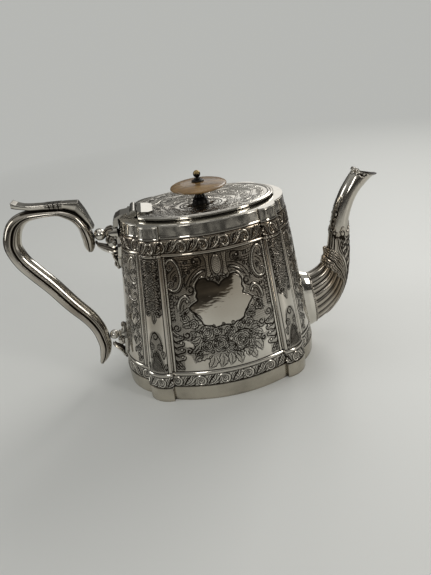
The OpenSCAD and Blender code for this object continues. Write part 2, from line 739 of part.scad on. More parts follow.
// The moulded section: [share of the half thickness, share of the half width], outside first.
half_section = [[1, 0], [0.96, 0.34], [0.72, 0.66], [0.42, 0.96], [0.16, 1], [-0.02, 0.82],
    [-0.3, 0.86], [-0.62, 0.7], [-0.9, 0.38], [-1, 0]];
section = concat(half_section,
    [for (i = [len(half_section) - 2:-1:1]) [half_section[i][0], -half_section[i][1]]]);

function handle_width_at(t) = handle_width / 2 * (0.62 + 0.38 * smooth(t * 7) * smooth((1 - t) * 6));

function handle_ring(t) =
    let (step = 0.004,
         s = along(handle_stations, t),
         ahead = along(handle_stations, t + step),
         behind = along(handle_stations, t - step),
         way = [ahead[0] - behind[0], ahead[1] - behind[1]],
         out = [-way[1], way[0]] / norm(way))
    [for (p = section)
        let (rise = p[0] * s[2] / 2)
        [-(s[0] + out[0] * rise), -p[1] * handle_width_at(t), s[1] + out[1] * rise]];

handle_steps = 40;
module handle() {
    color(silver) {
        solid_skin([for (j = [0:handle_steps]) handle_ring(j / handle_steps)]);
    }
}

// The grip plate lies along the top of the handle, flares up at its back end and runs down
// the shoulder. Heights on the arch are shares of its rise and of the handle's thickness.
grip_seat = 0.3;
grip_back = -upper_boss - 0.84 * arch_span;
grip_middle = -upper_boss - 0.54 * arch_span;
function on_arch(rise, thick) = upper_bead_z + grip_seat + rise * handle_rise + thick * handle_t;
function on_grip(share) = on_arch(1, 0.23) + share * grip_t;
function by_boss(share) = -upper_boss + share * handle_t;
module grip_plate() {
    color(silver) translate([0, grip_width / 2, 0]) rotate([90, 0, 0]) linear_extrude(height = grip_width)
        polygon([
            [grip_back, on_grip(2.1)], [grip_back - 0.16 * grip_t, on_grip(1.1)],
            [grip_back + 1.4 * grip_t, on_arch(1, 0.4)], [grip_middle - 1.7 * grip_t, on_arch(1, 0.27)],
            [grip_middle, on_arch(1, 0.23)], [-upper_boss - 0.375 * arch_span, on_arch(0.97, 0.2)],
            [-upper_boss - 0.25 * arch_span, on_arch(0.9, 0.22)], [by_boss(-0.49), on_arch(0.7, 0.23)],
            [by_boss(-0.12), on_arch(0.38, 0.1)], [by_boss(-0.04), on_arch(0.27, 0)],
            [by_boss(0.11), on_arch(0.27, 0)], [by_boss(0.03), on_arch(0.38, 0.21)],
            [by_boss(-0.14), on_arch(0.7, 0.29)], [by_boss(-0.365), on_grip(0.31)],
            [-upper_boss - 0.22 * arch_span, on_grip(0.53)], [grip_middle, on_grip(0.86)],
            [grip_back + 1.8 * grip_t, on_grip(1.22)]]);
}

// A bead with flat ends, on its side.
module bead(x, z, d) {
    color(silver) translate([-x, 0, z]) rotate([0, 90, 0]) intersection() {
        sphere(d = d);
        cube([d, d, d * 0.9], center = true);
    }
}

module upper_ball() {
    bead(upper_bead_x, upper_bead_z, upper_bead_d);
}

module lower_ball() {
    bead(lower_bead_x, lower_bead_z, lower_bead_d);
}

// ---- Handle brackets ----

// A point off the wall by the handle, its place given as [y, z].
function off_wall(y, z, gap) = [-wall_x(y, z) - seat - gap, y, z];

// A plate on the wall, its outline given as [y, z] round its middle.
module wall_pad(z, outline, thick) {
    solid_skin([
        for (step = [[0.08, thick], [0.5, thick], [0.86, thick], [1, 0], [0.7, 0], [0.4, 0], [0.08, 0]])
        [for (p = outline) off_wall(p[0] * step[0], z + p[1] * step[0], step[1])]]);
}

pad_points = 24;
function pad_outline(half_y, up, down, lobes) =
    [for (i = [0:pad_points - 1])
        let (a = 360 * i / pad_points, wave = 1 + 0.12 * cos(a * lobes))
        [half_y * sin(a) * wave, (cos(a) > 0 ? up : down) * cos(a) * wave]];

// A cast scroll that follows the wall, along stations of
// [distance off the wall, height, half thickness, half width].
scroll_sides = 8;
scroll_steps = 7;
function scroll_ring(stations, t) =
    let (step = 0.01,
         s = along(stations, t),
         ahead = along(stations, t + step),
         behind = along(stations, t - step),
         way = [ahead[0] - behind[0], ahead[1] - behind[1]],
         out = [way[1], -way[0]] / norm(way))
    [for (i = [0:scroll_sides - 1])
        let (a = 360 * i / scroll_sides, rise = s[2] * cos(a))
        off_wall(s[3] * sin(a), s[1] + out[1] * rise, max(0, s[0] + out[0] * rise))];

module scroll(stations) {
    solid_skin([for (j = [0:scroll_steps]) scroll_ring(stations, j / scroll_steps)]);
}

// A socket from the wall plate to a bead.
module socket(bead_x, bead_z, bead_d, foot_d) {
    from = bead_x - bead_d * 0.45 - boss_gap;
    to = wall_x(0, bead_z) + seat + 1;
    translate([-from, 0, bead_z]) rotate([0, 90, 0]) rotate_extrude()
        polygon([[0, 0], [bead_d * 0.3, 0], [bead_d * 0.42, 1], [bead_d * 0.34, 2],
            [foot_d / 2, from - to], [0, from - to]]);
}

// The bud that hangs under a socket. Its stations are shares of the bead's reach and radius.
bud = [[0.46, -0.4, 0.28, 0.5], [0.48, -0.82, 0.46, 0.85], [0.47, -1.28, 0.78, 1.05],
    [0.38, -1.72, 0.88, 1.14], [0.23, -2.15, 0.68, 1]];

// An arm that curls under a bead and swings down to the wall, in the same shares.
upper_arm = [[1.16, -1.38, 0.12, 0.33], [1.13, -1.8, 0.21, 0.52], [0.98, -2.3, 0.26, 0.7],
    [0.73, -2.8, 0.29, 0.86], [0.49, -3.13, 0.31, 1], [0.3, -3.19, 0.31, 1.05], [0.12, -3, 0.29, 0.95]];
upper_drop = [[0.37, -3.14, 0.29, 0.86], [0.4, -3.86, 0.31, 0.86], [0.28, -4.67, 0.31, 0.76],
    [0.18, -5.38, 0.26, 0.67], [0.19, -6, 0.36, 0.57], [0.11, -6.5, 0.29, 0.4]];
upper_stem = [[0.2, -0.9, 0.5, 1.05], [0.21, -0.2, 0.48, 1], [0.2, 0.5, 0.45, 0.86],
    [0.2, 1.1, 0.43, 0.81]];
lower_arm = [[1.14, -1.95, 0.14, 0.38], [1.1, -2.3, 0.24, 0.54], [0.9, -2.76, 0.38, 0.76],
    [0.56, -3.68, 0.43, 0.86], [0.3, -4.7, 0.43, 0.86], [0.2, -5.5, 0.36, 0.76], [0.12, -6, 0.27, 0.54]];
lower_stem = [[0.25, 0.1, 0.48, 0.86], [0.2, 0.95, 0.41, 0.7], [0.2, 1.62, 0.36, 0.6],
    [0.16, 2.25, 0.32, 0.49]];
function cast(stations, reach, z, radius) =
    [for (s = stations) [s[0] * reach, z + s[1] * radius, s[2] * radius, s[3] * radius]];

module upper_bracket() {
    radius = upper_bead_d / 2;
    color(silver) union() {
        wall_pad(upper_bead_z - 2.14 * radius,
            pad_outline(1.8 * radius, 2.4 * radius, 4.05 * radius, 4), 0.52 * radius);
        socket(upper_bead_x, upper_bead_z, upper_bead_d, 2.4 * radius);
        for (shape = [bud, upper_arm, upper_drop, upper_stem])
            scroll(cast(shape, upper_bead_reach, upper_bead_z, radius));
    }
}

module lower_bracket() {
    radius = lower_bead_d / 2;
    color(silver) union() {
        wall_pad(lower_bead_z - 1.35 * radius,
            pad_outline(1.76 * radius, 3.38 * radius, 4.6 * radius, 4), 0.54 * radius);
        socket(lower_bead_x, lower_bead_z, lower_bead_d, 2.16 * radius);
        for (shape = [bud, lower_arm, lower_stem])
            scroll(cast(shape, lower_bead_reach, lower_bead_z, radius));
    }
}

body_shell();
foot_band();
bottom_plate();
rim_plate();
spout();
spout_collar();
spout_leaf();
handle();
grip_plate();
upper_ball();
lower_ball();
upper_bracket();
lower_bracket();
hinge_bracket();
hinge_pin();
lid_plate();
lid_bezel();
lid_hinge_leaf();
finial_stem();
finial_disc();
finial_collar();
finial_nut();
finial_stud();
finial_wing_nut();
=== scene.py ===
import json
import math
import bpy
import numpy as np
from mathutils import Matrix, Vector


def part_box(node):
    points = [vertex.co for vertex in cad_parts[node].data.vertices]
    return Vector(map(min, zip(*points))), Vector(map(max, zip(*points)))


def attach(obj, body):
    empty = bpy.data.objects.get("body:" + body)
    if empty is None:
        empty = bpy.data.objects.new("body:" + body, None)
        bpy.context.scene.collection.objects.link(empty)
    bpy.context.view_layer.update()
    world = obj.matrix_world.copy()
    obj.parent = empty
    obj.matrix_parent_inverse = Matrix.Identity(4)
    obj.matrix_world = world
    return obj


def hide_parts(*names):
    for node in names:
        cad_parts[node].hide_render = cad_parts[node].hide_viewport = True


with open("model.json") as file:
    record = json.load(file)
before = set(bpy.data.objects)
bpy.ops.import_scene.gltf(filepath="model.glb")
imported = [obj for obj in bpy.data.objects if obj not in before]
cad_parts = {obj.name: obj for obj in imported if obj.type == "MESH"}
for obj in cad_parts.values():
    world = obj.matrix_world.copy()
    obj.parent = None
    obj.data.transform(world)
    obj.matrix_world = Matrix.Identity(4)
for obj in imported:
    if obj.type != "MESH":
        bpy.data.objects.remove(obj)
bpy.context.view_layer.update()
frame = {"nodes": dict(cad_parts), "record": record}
MM = 0.001

# ---------------------------------------------------------------- camera, light, floor

IMAGE_HEIGHT, FOCAL = 575, 432.97  # pixels
SENSOR = 36  # millimetres, as CAMERA_AT
CAMERA_AT = (-28.1, -292.4, 219.4)
YAW, DIP, ROLL = -5.91, 28.16, -7.84  # degrees
BACKDROP = (0.47, 0.475, 0.455)
# Each lamp: name, place, target and size in metres, watts, colour
LAMPS = (
    ("key", (0.75, 0.65, 0.75), (0, 0, 0.08), (0.75, 0.6), 6.0, (1, 0.99, 0.97)),
    ("window", (-1.0, 0.05, 0.42), (0, 0, 0.08), (0.28, 0.62), 2.2, (0.97, 0.99, 1)),
    ("right", (0.72, -0.62, 0.42), (0, 0, 0.08), (0.16, 0.5), 2.2, (1, 0.98, 0.95)),
    ("front", (-0.34, -0.95, 0.5), (0, 0, 0.06), (0.16, 0.4), 1.2, (1, 0.99, 0.97)),
    ("behind", (0.5, 1.2, 0.58), (0, 0, 0.1), (1.15, 0.36), 1.25, (1, 0.99, 0.97)),
    ("top", (0.1, 0.1, 1.2), (0, 0, 0.06), (0.8, 0.6), 1.5, (1, 1, 1)))
# The room as the metal mirrors it, from straight down to straight up: share of the way, grey
ROOM = ((0.0, (0.05, 0.05, 0.05)), (0.48, (0.03, 0.028, 0.027)), (0.57, (0.055, 0.053, 0.05)),
        (0.70, (0.22, 0.22, 0.21)), (0.86, (0.42, 0.42, 0.41)), (1.0, (0.30, 0.30, 0.30)))
FLOOR_HALF = 6
FLOOR_COLOUR, FLOOR_ROUGH = (0.66, 0.665, 0.64), 0.5
# What the metal sees of the far floor: dark things with pale gaps between them
FAR_DARK, FAR_PALE = (0.02, 0.02, 0.02), (0.5, 0.5, 0.48)
# Where the far floor and the fade into the backdrop start, and how fast they come
FAR_FLOOR, FADE = (0.31, 6.0), (0.25, 1.1)
# Noises: scale, detail, roughness
FLOOR_PATCHES = (8, 1, 0.4)
CLOUDS, SPECKS, SMEARS, WEAR = (38, 4, 0.6), (420, 3, 0.65), (90, 3, 0.6), (700, 4, 0.6)
BONE_GRAIN, BONE_CLOUDS, BONE_FLECKS = (9, 4, 0.6, 0.6), (45, 3, 0.55), (90, 2, 0.5)


def camera():
    yaw, dip, roll = (math.radians(a) for a in (YAW, DIP, ROLL))
    look = Vector((-math.sin(yaw) * math.cos(dip), math.cos(yaw) * math.cos(dip), -math.sin(dip)))
    side = Vector((math.cos(yaw), math.sin(yaw), 0))
    top = side.cross(look)
    right = side * math.cos(roll) + top * math.sin(roll)
    up = -side * math.sin(roll) + top * math.cos(roll)
    turn = Matrix((right, up, -look)).transposed().to_4x4()
    cam = bpy.data.objects.new("camera", bpy.data.cameras.new("camera"))
    cam.data.sensor_width = SENSOR
    cam.data.lens = FOCAL / IMAGE_HEIGHT * SENSOR
    cam.data.clip_start, cam.data.clip_end = 0.01, 50
    cam.matrix_world = Matrix.Translation(Vector(CAMERA_AT) * MM) @ turn
    bpy.context.collection.objects.link(cam)
    bpy.context.scene.camera = cam


def area(name, place, target, size, watts, colour):
    lamp = bpy.data.lights.new(name, "AREA")
    lamp.shape = "RECTANGLE"
    lamp.size, lamp.size_y = size
    lamp.energy = watts
    lamp.color = colour
    o = bpy.data.objects.new(name, lamp)
    o.location = place
    o.rotation_euler = (Vector(target) - Vector(place)).to_track_quat("-Z", "Y").to_euler()
    o.visible_camera = False
    bpy.context.collection.objects.link(o)


class Nodes:
    """A short way to write a node tree."""

    def __init__(self, tree):
        self.tree = tree
        tree.nodes.clear()

    def add(self, kind):
        return self.tree.nodes.new("ShaderNode" + kind)

    def plug(self, value, socket):
        """Links an output to a socket, or gives the socket a value."""
        if isinstance(value, bpy.types.NodeSocket):
            self.tree.links.new(value, socket)
        elif isinstance(value, tuple) and len(socket.default_value) > len(value):
            socket.default_value = (*value, 1)
        else:
            socket.default_value = value

    def fill(self, node, values):
        for key, value in values.items():
            self.plug(value, node.inputs[key])
        return node

    def math(self, op, a, b, clamp=False):
        n = self.add("Math")
        n.operation, n.use_clamp = op, clamp
        return self.fill(n, {0: a, 1: b}).outputs[0]

    def climb(self, value, start, slope):
        """How far a value is past a start, times a slope, between 0 and 1."""
        return self.math("MULTIPLY", self.math("SUBTRACT", value, start), slope, True)

    def plus(self, a, b, share, clamp=False):
        """The first value and a share of the second."""
        return self.math("ADD", a, self.math("MULTIPLY", b, share), clamp)

    def ramp(self, fac, stops):
        n = self.add("ValToRGB")
        els = n.color_ramp.elements
        while len(els) < len(stops):
            els.new(0.5)
        for e, (pos, col) in zip(els, stops):
            e.position, e.color = pos, (*col, 1)
        return self.fill(n, {0: fac}).outputs[0]

    def mix(self, fac, a, b):
        """A blend of two colours."""
        n = self.add("Mix")
        n.data_type = "RGBA"
        return self.fill(n, {0: fac, 6: a, 7: b}).outputs[2]

    def blend(self, fac, a, b):
        """A blend of two shaders."""
        return self.fill(self.add("MixShader"), {0: fac, 1: a, 2: b}).outputs[0]

    def noise(self, vector, scale, detail, rough, distortion=0):
        values = {"Vector": vector, "Scale": scale, "Detail": detail, "Roughness": rough,
                  "Distortion": distortion}
        return self.fill(self.add("TexNoise"), values).outputs["Fac"]

    def coords(self, stretch=None):
        place = self.add("TexCoord").outputs["Object"]
        if stretch is None:
            return place
        return self.fill(self.add("Mapping"), {"Scale": stretch, "Vector": place}).outputs["Vector"]

    def by_camera(self):
        return self.add("LightPath").outputs["Is Camera Ray"]


class Surface(Nodes):
    """A material in the making."""

    def __init__(self, name):
        self.material = bpy.data.materials.new(name)
        self.material.use_nodes = True
        super().__init__(self.material.node_tree)

    def shader(self, **values):
        """The principled shader with its inputs set. An underscore in a name stands for a space."""
        named = {k.replace("_", " "): v for k, v in values.items()}
        return self.fill(self.add("BsdfPrincipled"), named).outputs[0]

    def bump(self, height, strength):
        values = {"Height": height, "Strength": strength, "Distance": BUMP_DEPTH}
        return self.fill(self.add("Bump"), values).outputs[0]

    def done(self, shader):
        self.plug(shader, self.add("OutputMaterial").inputs[0])
        return self.material


def studio():
    """A dim room with soft boxes. The camera sees the backdrop's own pale grey."""
    world = bpy.data.worlds.new("studio")
    bpy.context.scene.world = world
    world.use_nodes = True
    n = Nodes(world.node_tree)
    way = n.fill(n.add("SeparateXYZ"), {0: n.add("TexCoord").outputs["Generated"]})
    room = n.ramp(n.math("ADD", n.math("MULTIPLY", way.outputs["Z"], 0.5), 0.5), ROOM)
    lit, seen = (n.fill(n.add("Background"), {"Color": c}).outputs[0] for c in (room, BACKDROP))
    n.plug(n.blend(n.by_camera(), lit, seen), n.add("OutputWorld").inputs[0])
    for lamp in LAMPS:
        area(*lamp)
    bpy.context.scene.view_settings.view_transform = "Standard"


def floor():
    """A pale floor that fades into the backdrop. Past its near part the metal sees it dim and patchy."""
    mesh = bpy.data.meshes.new("floor")
    corners = [(FLOOR_HALF * x, FLOOR_HALF * y, 0) for x, y in ((-1, -1), (1, -1), (1, 1), (-1, 1))]
    mesh.from_pydata(corners, [], [(0, 1, 2, 3)])
    o = bpy.data.objects.new("floor", mesh)
    bpy.context.collection.objects.link(o)
    n = Surface("floor")
    place = n.coords()
    far = n.add("VectorMath")
    far.operation = "LENGTH"
    n.plug(place, far.inputs[0])
    far = far.outputs["Value"]
    seen = n.by_camera()
    patch = n.climb(n.noise(place, *FLOOR_PATCHES), 0.5, 16)
    mirrored = n.math("MULTIPLY", n.climb(far, *FAR_FLOOR), n.math("SUBTRACT", 1.0, seen))
    colour = n.mix(mirrored, FLOOR_COLOUR, n.mix(patch, FAR_DARK, FAR_PALE))
    backdrop = n.fill(n.add("Emission"), {"Color": BACKDROP}).outputs[0]
    faded = n.math("MULTIPLY", n.climb(far, *FADE), seen)
    near = n.shader(Base_Color=colour, Roughness=FLOOR_ROUGH)
    mesh.materials.append(n.done(n.blend(faded, near, backdrop)))


# ---------------------------------------------------------------- materials

BUMP_DEPTH = 0.0004
# Metal gets darker in corners, as painted shade together with tarnish, within a reach and where less than a
# share of the sky is seen
CORNER_REACH, CORNER_SHARE, CORNER_SAMPLES = 0.004, 0.62, 6
SILVER, FOOT_SILVER = (0.67, 0.64, 0.575), (0.54, 0.5, 0.42)
# The dark colour of tarnish, also used for painted shade
TARNISH_AND_SHADE = (0.016, 0.0125, 0.009)
# What brown tarnish leaves of the silver's colour
BROWNING = (0.42, 0.35, 0.28)
BLACKENED, BRASS = (0.012, 0.011, 0.010), (0.42, 0.30, 0.13)
# The height from which the finial's studs are worn to brass
WORN_ABOVE = 0.1502
# Bone from its dark grain to its pale
BONE = ((0.30, (0.06, 0.031, 0.009)), (0.45, (0.15, 0.083, 0.026)),
        (0.58, (0.28, 0.168, 0.06)), (0.75, (0.46, 0.325, 0.155)))
BONE_FLECK = (0.17, 0.10, 0.045)


def metal(name, bright, rough, stain, grain, corner_shade_and_tarnish):
    """Plate that is bright on its highs, where the vertex colour paints a highlight, and dark where the vertex
    colour holds tarnish and painted shade.
    """
    n = Surface(name)
    place = n.coords()
    aged = n.add("Attribute")
    aged.attribute_name = "tarnish_and_painted_light"
    aged = n.fill(n.add("SeparateColor"), {0: aged.outputs["Color"]})
    cloud, speck = n.noise(place, *CLOUDS), n.noise(place, *SPECKS)
    smear = n.noise(n.coords((1, 1, 3)), *SMEARS)
    depth = n.plus(n.climb(aged.outputs[0], 0.1, 1.35), n.climb(cloud, 0.42, stain * 3.2), 0.4, True)
    depth = n.plus(depth, n.math("SUBTRACT", speck, 0.5), 0.05, True)
    # painted shade and tarnish in the corners: darker where the metal sees less of the sky
    open_air = n.add("AmbientOcclusion")
    open_air.samples = CORNER_SAMPLES
    n.plug(CORNER_REACH, open_air.inputs["Distance"])
    depth = n.plus(depth, n.math("SUBTRACT", CORNER_SHARE, open_air.outputs["AO"], True), corner_shade_and_tarnish, True)
    tint = n.mix(aged.outputs[1], bright, tuple(c * k for c, k in zip(bright, BROWNING)))
    dulled = n.math("ADD", n.math("MULTIPLY", depth, rough[1] - rough[0]), rough[0])
    return n.done(n.shader(Base_Color=n.mix(depth, tint, TARNISH_AND_SHADE), Metallic=1.0,
                           Roughness=n.plus(dulled, smear, 0.05, True),
                           Normal=n.bump(n.plus(speck, smear, 0.7), grain)))


def dark_metal_material():
    """Blackened metal, worn to brass on its top and its edges."""
    n = Surface("dark_metal")
    z = n.fill(n.add("SeparateXYZ"), {0: n.coords()}).outputs["Z"]
    wear = n.noise(n.coords(), *WEAR)
    edge = n.climb(n.add("NewGeometry").outputs["Pointiness"], 0.53, 9)
    worn = n.plus(n.climb(z, WORN_ABOVE, 700), edge, 0.06)
    worn = n.math("MULTIPLY", worn, n.math("MULTIPLY", wear, 1.5), True)
    return n.done(n.shader(Base_Color=n.mix(worn, BLACKENED, BRASS), Metallic=0.85,
                           Roughness=n.math("ADD", n.math("MULTIPLY", wear, 0.25), 0.22),
                           Normal=n.bump(wear, 0.12)))


def bone_material():
    """Brown bone with its grain along the stem."""
    n = Surface("bone")
    grain = n.noise(n.coords((2.5, 30, 14)), *BONE_GRAIN)
    cloud = n.noise(n.coords(), *BONE_CLOUDS)
    fleck = n.noise(n.coords((1, 8, 6)), *BONE_FLECKS)
    tone = n.plus(n.math("MULTIPLY", grain, 0.55), cloud, 0.45)
    colour = n.mix(n.math("MULTIPLY", fleck, 0.3), n.ramp(tone, BONE), BONE_FLECK)
    return n.done(n.shader(Base_Color=colour, Subsurface_Weight=0.08, Subsurface_Radius=(0.004, 0.002, 0.001),
                           Coat_Weight=0.25, Roughness=n.math("ADD", n.math("MULTIPLY", fleck, 0.2), 0.24),
                           Normal=n.bump(grain, 0.06)))


# Silver: colour, roughness when bright and when dark, stain, grain, and the painted shade and tarnish in the
# corners
engraved_silver = metal("engraved_silver", SILVER, (0.05, 0.42), 0.25, 0.03, 0.4)
plain_silver = metal("plain_silver", SILVER, (0.04, 0.4), 0.3, 0.015, 2.4)
foot_silver = metal("foot_silver", FOOT_SILVER, (0.14, 0.5), 0.9, 0.04, 2.4)
cast_silver = metal("cast_silver", SILVER, (0.09, 0.45), 0.4, 0.03, 2.6)
BY_SLOT = {"engraved_silver": engraved_silver, "plain_silver": plain_silver, "cast_silver": cast_silver,
           "dark_metal": dark_metal_material(), "bone": bone_material()}
# The fine pieces that stand for plain nodes look cast
BY_PIECE = {"engraved_silver": engraved_silver, "plain_silver": cast_silver, "cast_silver": cast_silver}


def dress_frame():
    for sub in frame["record"]["subparts"]:
        for s in frame["nodes"][sub["node"]].material_slots:
            s.link = "OBJECT"
            s.material = foot_silver if sub["node"] == "foot_band" else BY_SLOT[sub["material_slot"]]


# ---------------------------------------------------------------- engraving

# Lengths on a drawing are millimetres. Depths, heights and matting run from 0 to about 1.
PITCH = 0.22
LEAF_GROUND = 0.85
HATCH_REACH = 0.32
# Pens, as a width and a depth: a band's sides, a boss's ring, a leaf's outline, midrib and veins, a rose's
# petals and their folds
SIDE_PEN, RING_PEN = (0.36, 0.95), (0.34, 0.9)
LEAF_PEN, RIB_PEN, VEIN_PEN = (0.4, 1.0), (0.28, 0.8), (0.2, 0.5)
PETAL_PEN, FOLD_PEN = (0.38, 1.0), (0.26, 0.7)
# The raised edge inside a leaf's or a petal's outline, which is also painted bright as a painted highlight
LIT_EDGE = (0.3, 1.3)


def spline(a, b, c, d, f):
    """Places on a smooth curve between b and c, at shares f of the way."""
    return 0.5 * (2 * b + f * (c - a) + f * f * (2 * a - 5 * b + 4 * c - d)
                  + f ** 3 * (3 * b - a - 3 * c + d))


def extended(p):
    """The points with one more at each end, straight on."""
    return np.vstack([2 * p[0] - p[1], p, 2 * p[-1] - p[-2]])


def curve(points, step=0.25):
    """Points of a smooth line through the given ones, about a step apart."""
    p = np.asarray(points, float)
    if len(p) < 3:
        n = max(2, int(np.linalg.norm(p[-1] - p[0]) / step))
        return p[0] + (p[-1] - p[0]) * np.linspace(0, 1, n)[:, None]
    q = extended(p)
    out = []
    for a, b, c, d in zip(q, q[1:], q[2:], q[3:]):
        n = max(2, int(np.linalg.norm(c - b) / step))
        out.append(spline(a, b, c, d, np.linspace(0, 1, n, endpoint=False)[:, None]))
    return np.vstack(out + [p[-1:]])


def polar(cx, cy, r, a):
    return np.c_[cx + r * np.cos(a), cy + r * np.sin(a)]


def curl(cx, cy, r, start, sweep, end):
    """A spiral that winds in, from a radius r at an angle, through sweep degrees, to a share of r."""
    f = np.linspace(0, 1, max(8, int(abs(sweep) / 25)))
    return polar(cx, cy, r * (1 - (1 - end) * f), np.radians(start + sweep * f))


def ring(cx, cy, r, ry=None, n=19):
    a = np.linspace(0, 2 * np.pi, n)
    return np.c_[cx + r * np.cos(a), cy + (ry or r) * np.sin(a)]


def pairs(xy):
    """Points from x and y numbers in a row."""
    return np.reshape(xy, (-1, 2)).astype(float)


def copies(mirror):
    """Factors for x and y: one for a single drawing, two for both halves."""
    return [np.array((side, 1)) for side in ((1, -1) if mirror else (1,))]


def both(*xy):
    """An outline and its mirror image."""
    return [pairs(xy) * s for s in copies(True)]


def block(half, low, high):
    return pairs((-half, low, half, low, half, high, -half, high))


def across(way):
    """Unit normals to the left of a path's directions."""
    return np.c_[-way[:, 1], way[:, 0]] / np.maximum(np.linalg.norm(way, axis=1), 1e-6)[:, None]


def ends(n, rate, taper):
    """How full a stroke is along its points: it climbs from 0 at both ends where it tapers."""
    f = np.linspace(0, 1, n)
    return np.clip(np.minimum(f, 1 - f) * rate, 0, 1) if taper else np.ones(n)


class Plate:
    """A flat drawing of the chasing on one panel: cut, raised and ground, on a fine grid."""

    def __init__(self, u0, u1, v0, v1, pitch=PITCH):
        self.u0, self.v0, self.pitch = u0, v0, pitch
        self.nu = int(round((u1 - u0) / pitch)) + 1
        self.nv = int(round((v1 - v0) / pitch)) + 1
        self.U, self.V = np.meshgrid(u0 + np.arange(self.nu) * pitch, v0 + np.arange(self.nv) * pitch)
        self.cut, self.high, self.ground, self.field = np.zeros((4, self.nv, self.nu))

    def stamp(self, layer, pts, w, depth):
        """Presses a round dent of a width and a depth into a layer at each point."""
        pts = np.asarray(pts, float)
        w = np.broadcast_to(np.asarray(w, float), len(pts))
        depth = np.broadcast_to(np.asarray(depth, float), len(pts))
        k = int(math.ceil(w.max() / self.pitch)) + 1
        span = np.arange(-k, k + 1)
        i = np.rint((pts[:, 0] - self.u0) / self.pitch).astype(int)
        j = np.rint((pts[:, 1] - self.v0) / self.pitch).astype(int)
        ii = i[:, None, None] + span[None, None, :]
        jj = j[:, None, None] + span[None, :, None]
        du = self.u0 + ii * self.pitch - pts[:, 0][:, None, None]
        dv = self.v0 + jj * self.pitch - pts[:, 1][:, None, None]
        r = (du * du + dv * dv) / (w * w)[:, None, None]
        val = np.clip(1.35 * (1 - r), 0, 1) * depth[:, None, None]
        ok = (ii >= 0) & (ii < self.nu) & (jj >= 0) & (jj < self.nv) & (val > 0)
        jj, ii, val = (np.broadcast_to(x, ok.shape)[ok] for x in (jj, ii, val))
        np.maximum.at(layer, (jj, ii), val)

    def rib(self, pts, w, up):
        """A rib, or a cut where up is negative."""
        self.stamp(self.high if up > 0 else self.cut, pts, w, abs(up))

    def line(self, points, w, depth, taper=True, mirror=False):
        """A cut line, thin at its ends."""
        pts = curve(points)
        full = ends(len(pts), 6, taper)
        for s in copies(mirror):
            self.stamp(self.cut, pts * s, w * (0.5 + 0.5 * full), depth * (0.55 + 0.45 * full))

    def band(self, points, width, core=1.0, taper=True, mirror=False):
        """A raised band between two cut lines."""
        pts = curve(points)
        half = width / 2 * (0.45 + 0.55 * ends(len(pts), 4, taper))
        edge = across(np.gradient(pts, axis=0)) * half[:, None]
        for s in copies(mirror):
            self.stamp(self.high, pts * s, half * 1.05, core)
            for k in (1, -1):
                self.stamp(self.cut, (pts + edge * k) * s, *SIDE_PEN)

    def boss(self, cx, cy, r, height=1.0, mirror=False):
        """A raised bead with a cut ring round it."""
        for s in copies(mirror):
            x, y = s * (cx, cy)
            self.stamp(self.high, [(x, y)], r, height)
            self.stamp(self.cut, curve(ring(x, y, r)), *RING_PEN)

    def leaf(self, x0, y0, x1, y1, width, lobes=3, swell=0.5, mirror=False):
        """A lobed leaf from its stalk to its tip, with a midrib and veins."""
        a, way = np.array([x0, y0], float), np.array([x1 - x0, y1 - y0], float)
        length = np.linalg.norm(way)
        way = way / length
        nor = np.array([-way[1], way[0]])
        f = np.linspace(0, 1, 15 + 6 * lobes)
        shape = np.sin(np.pi * f ** 0.75).clip(0) ** 0.8 * (1 - 0.25 * np.abs(np.sin(np.pi * f * lobes)))
        bow = 0.12 * length * np.sin(np.pi * f) * (1 if lobes % 2 else -1)
        mid = a + np.outer(f * length, way) + np.outer(bow, nor)
        half = shape * width / 2
        veins = [int(t * (len(f) - 1)) for t in np.linspace(0.2, 0.85, max(3, int(length / 1.6)))]
        for s in copies(mirror):
            left, right = (mid + np.outer(half * k, nor) for k in (1, -1))
            self.mask(np.vstack([left, right[::-1]]) * s, LEAF_GROUND, swell)
            self.line(mid * s, *RIB_PEN)
            for k in (1, -1):
                self.stamp(self.high, (mid + np.outer((half - 0.42) * k, nor)) * s, *LIT_EDGE)
                self.line((mid + np.outer(half * k, nor)) * s, *LEAF_PEN)
                for i in veins:
                    tip = mid[i] + way * 0.14 * length + nor * half[i] * 0.84 * k
                    self.line(np.array([mid[i], tip]) * s, *VEIN_PEN)

    def rose(self, cx, cy, r, turns, petals, phase, mirror=False):
        """A round flower of scalloped rows of petals about a small bead."""
        for s in copies(mirror):
            c = s[0] * cx
            self.mask(ring(c, cy, r, n=40), LEAF_GROUND, 0.45)
            for row in range(turns):
                rr = r * (1 - row / (turns + 0.35))
                n = petals + (turns - row) - 1
                for p in range(n):
                    t = np.linspace(-0.5, 0.5, 7)
                    arc = phase + row * 0.7 + 2 * np.pi * p / n + t * 2 * np.pi / n
                    bulge = rr * (0.88 + 0.16 * np.cos(np.pi * t))
                    lit = np.maximum(bulge - 0.5, 0.2)
                    self.stamp(self.high, curve(polar(c, cy, lit, arc)), *LIT_EDGE)
                    self.line(polar(c, cy, bulge, arc), *PETAL_PEN)
                    fold = polar(c, cy, rr * np.array((0.86, 0.62)), arc[0] + np.array((0, 0.25)))
                    self.line(fold, *FOLD_PEN)
            self.boss(c, cy, r * 0.16, 1.2)

    def draw(self, mirror=True, bands=(), lines=(), curls=(), leaves=(), bosses=()):
        """Draws rows of numbers. Bands start with a width, lines and curls with a width and a depth."""
        for width, *xy in bands:
            self.band(pairs(xy), width, mirror=mirror)
        for w, depth, *xy in lines:
            self.line(pairs(xy), w, depth, mirror=mirror)
        for w, depth, *spiral in curls:
            self.line(curl(*spiral), w, depth, mirror=mirror)
        for row in leaves:
            self.leaf(*row, mirror=mirror)
        for row in bosses:
            self.boss(*row, mirror=mirror)

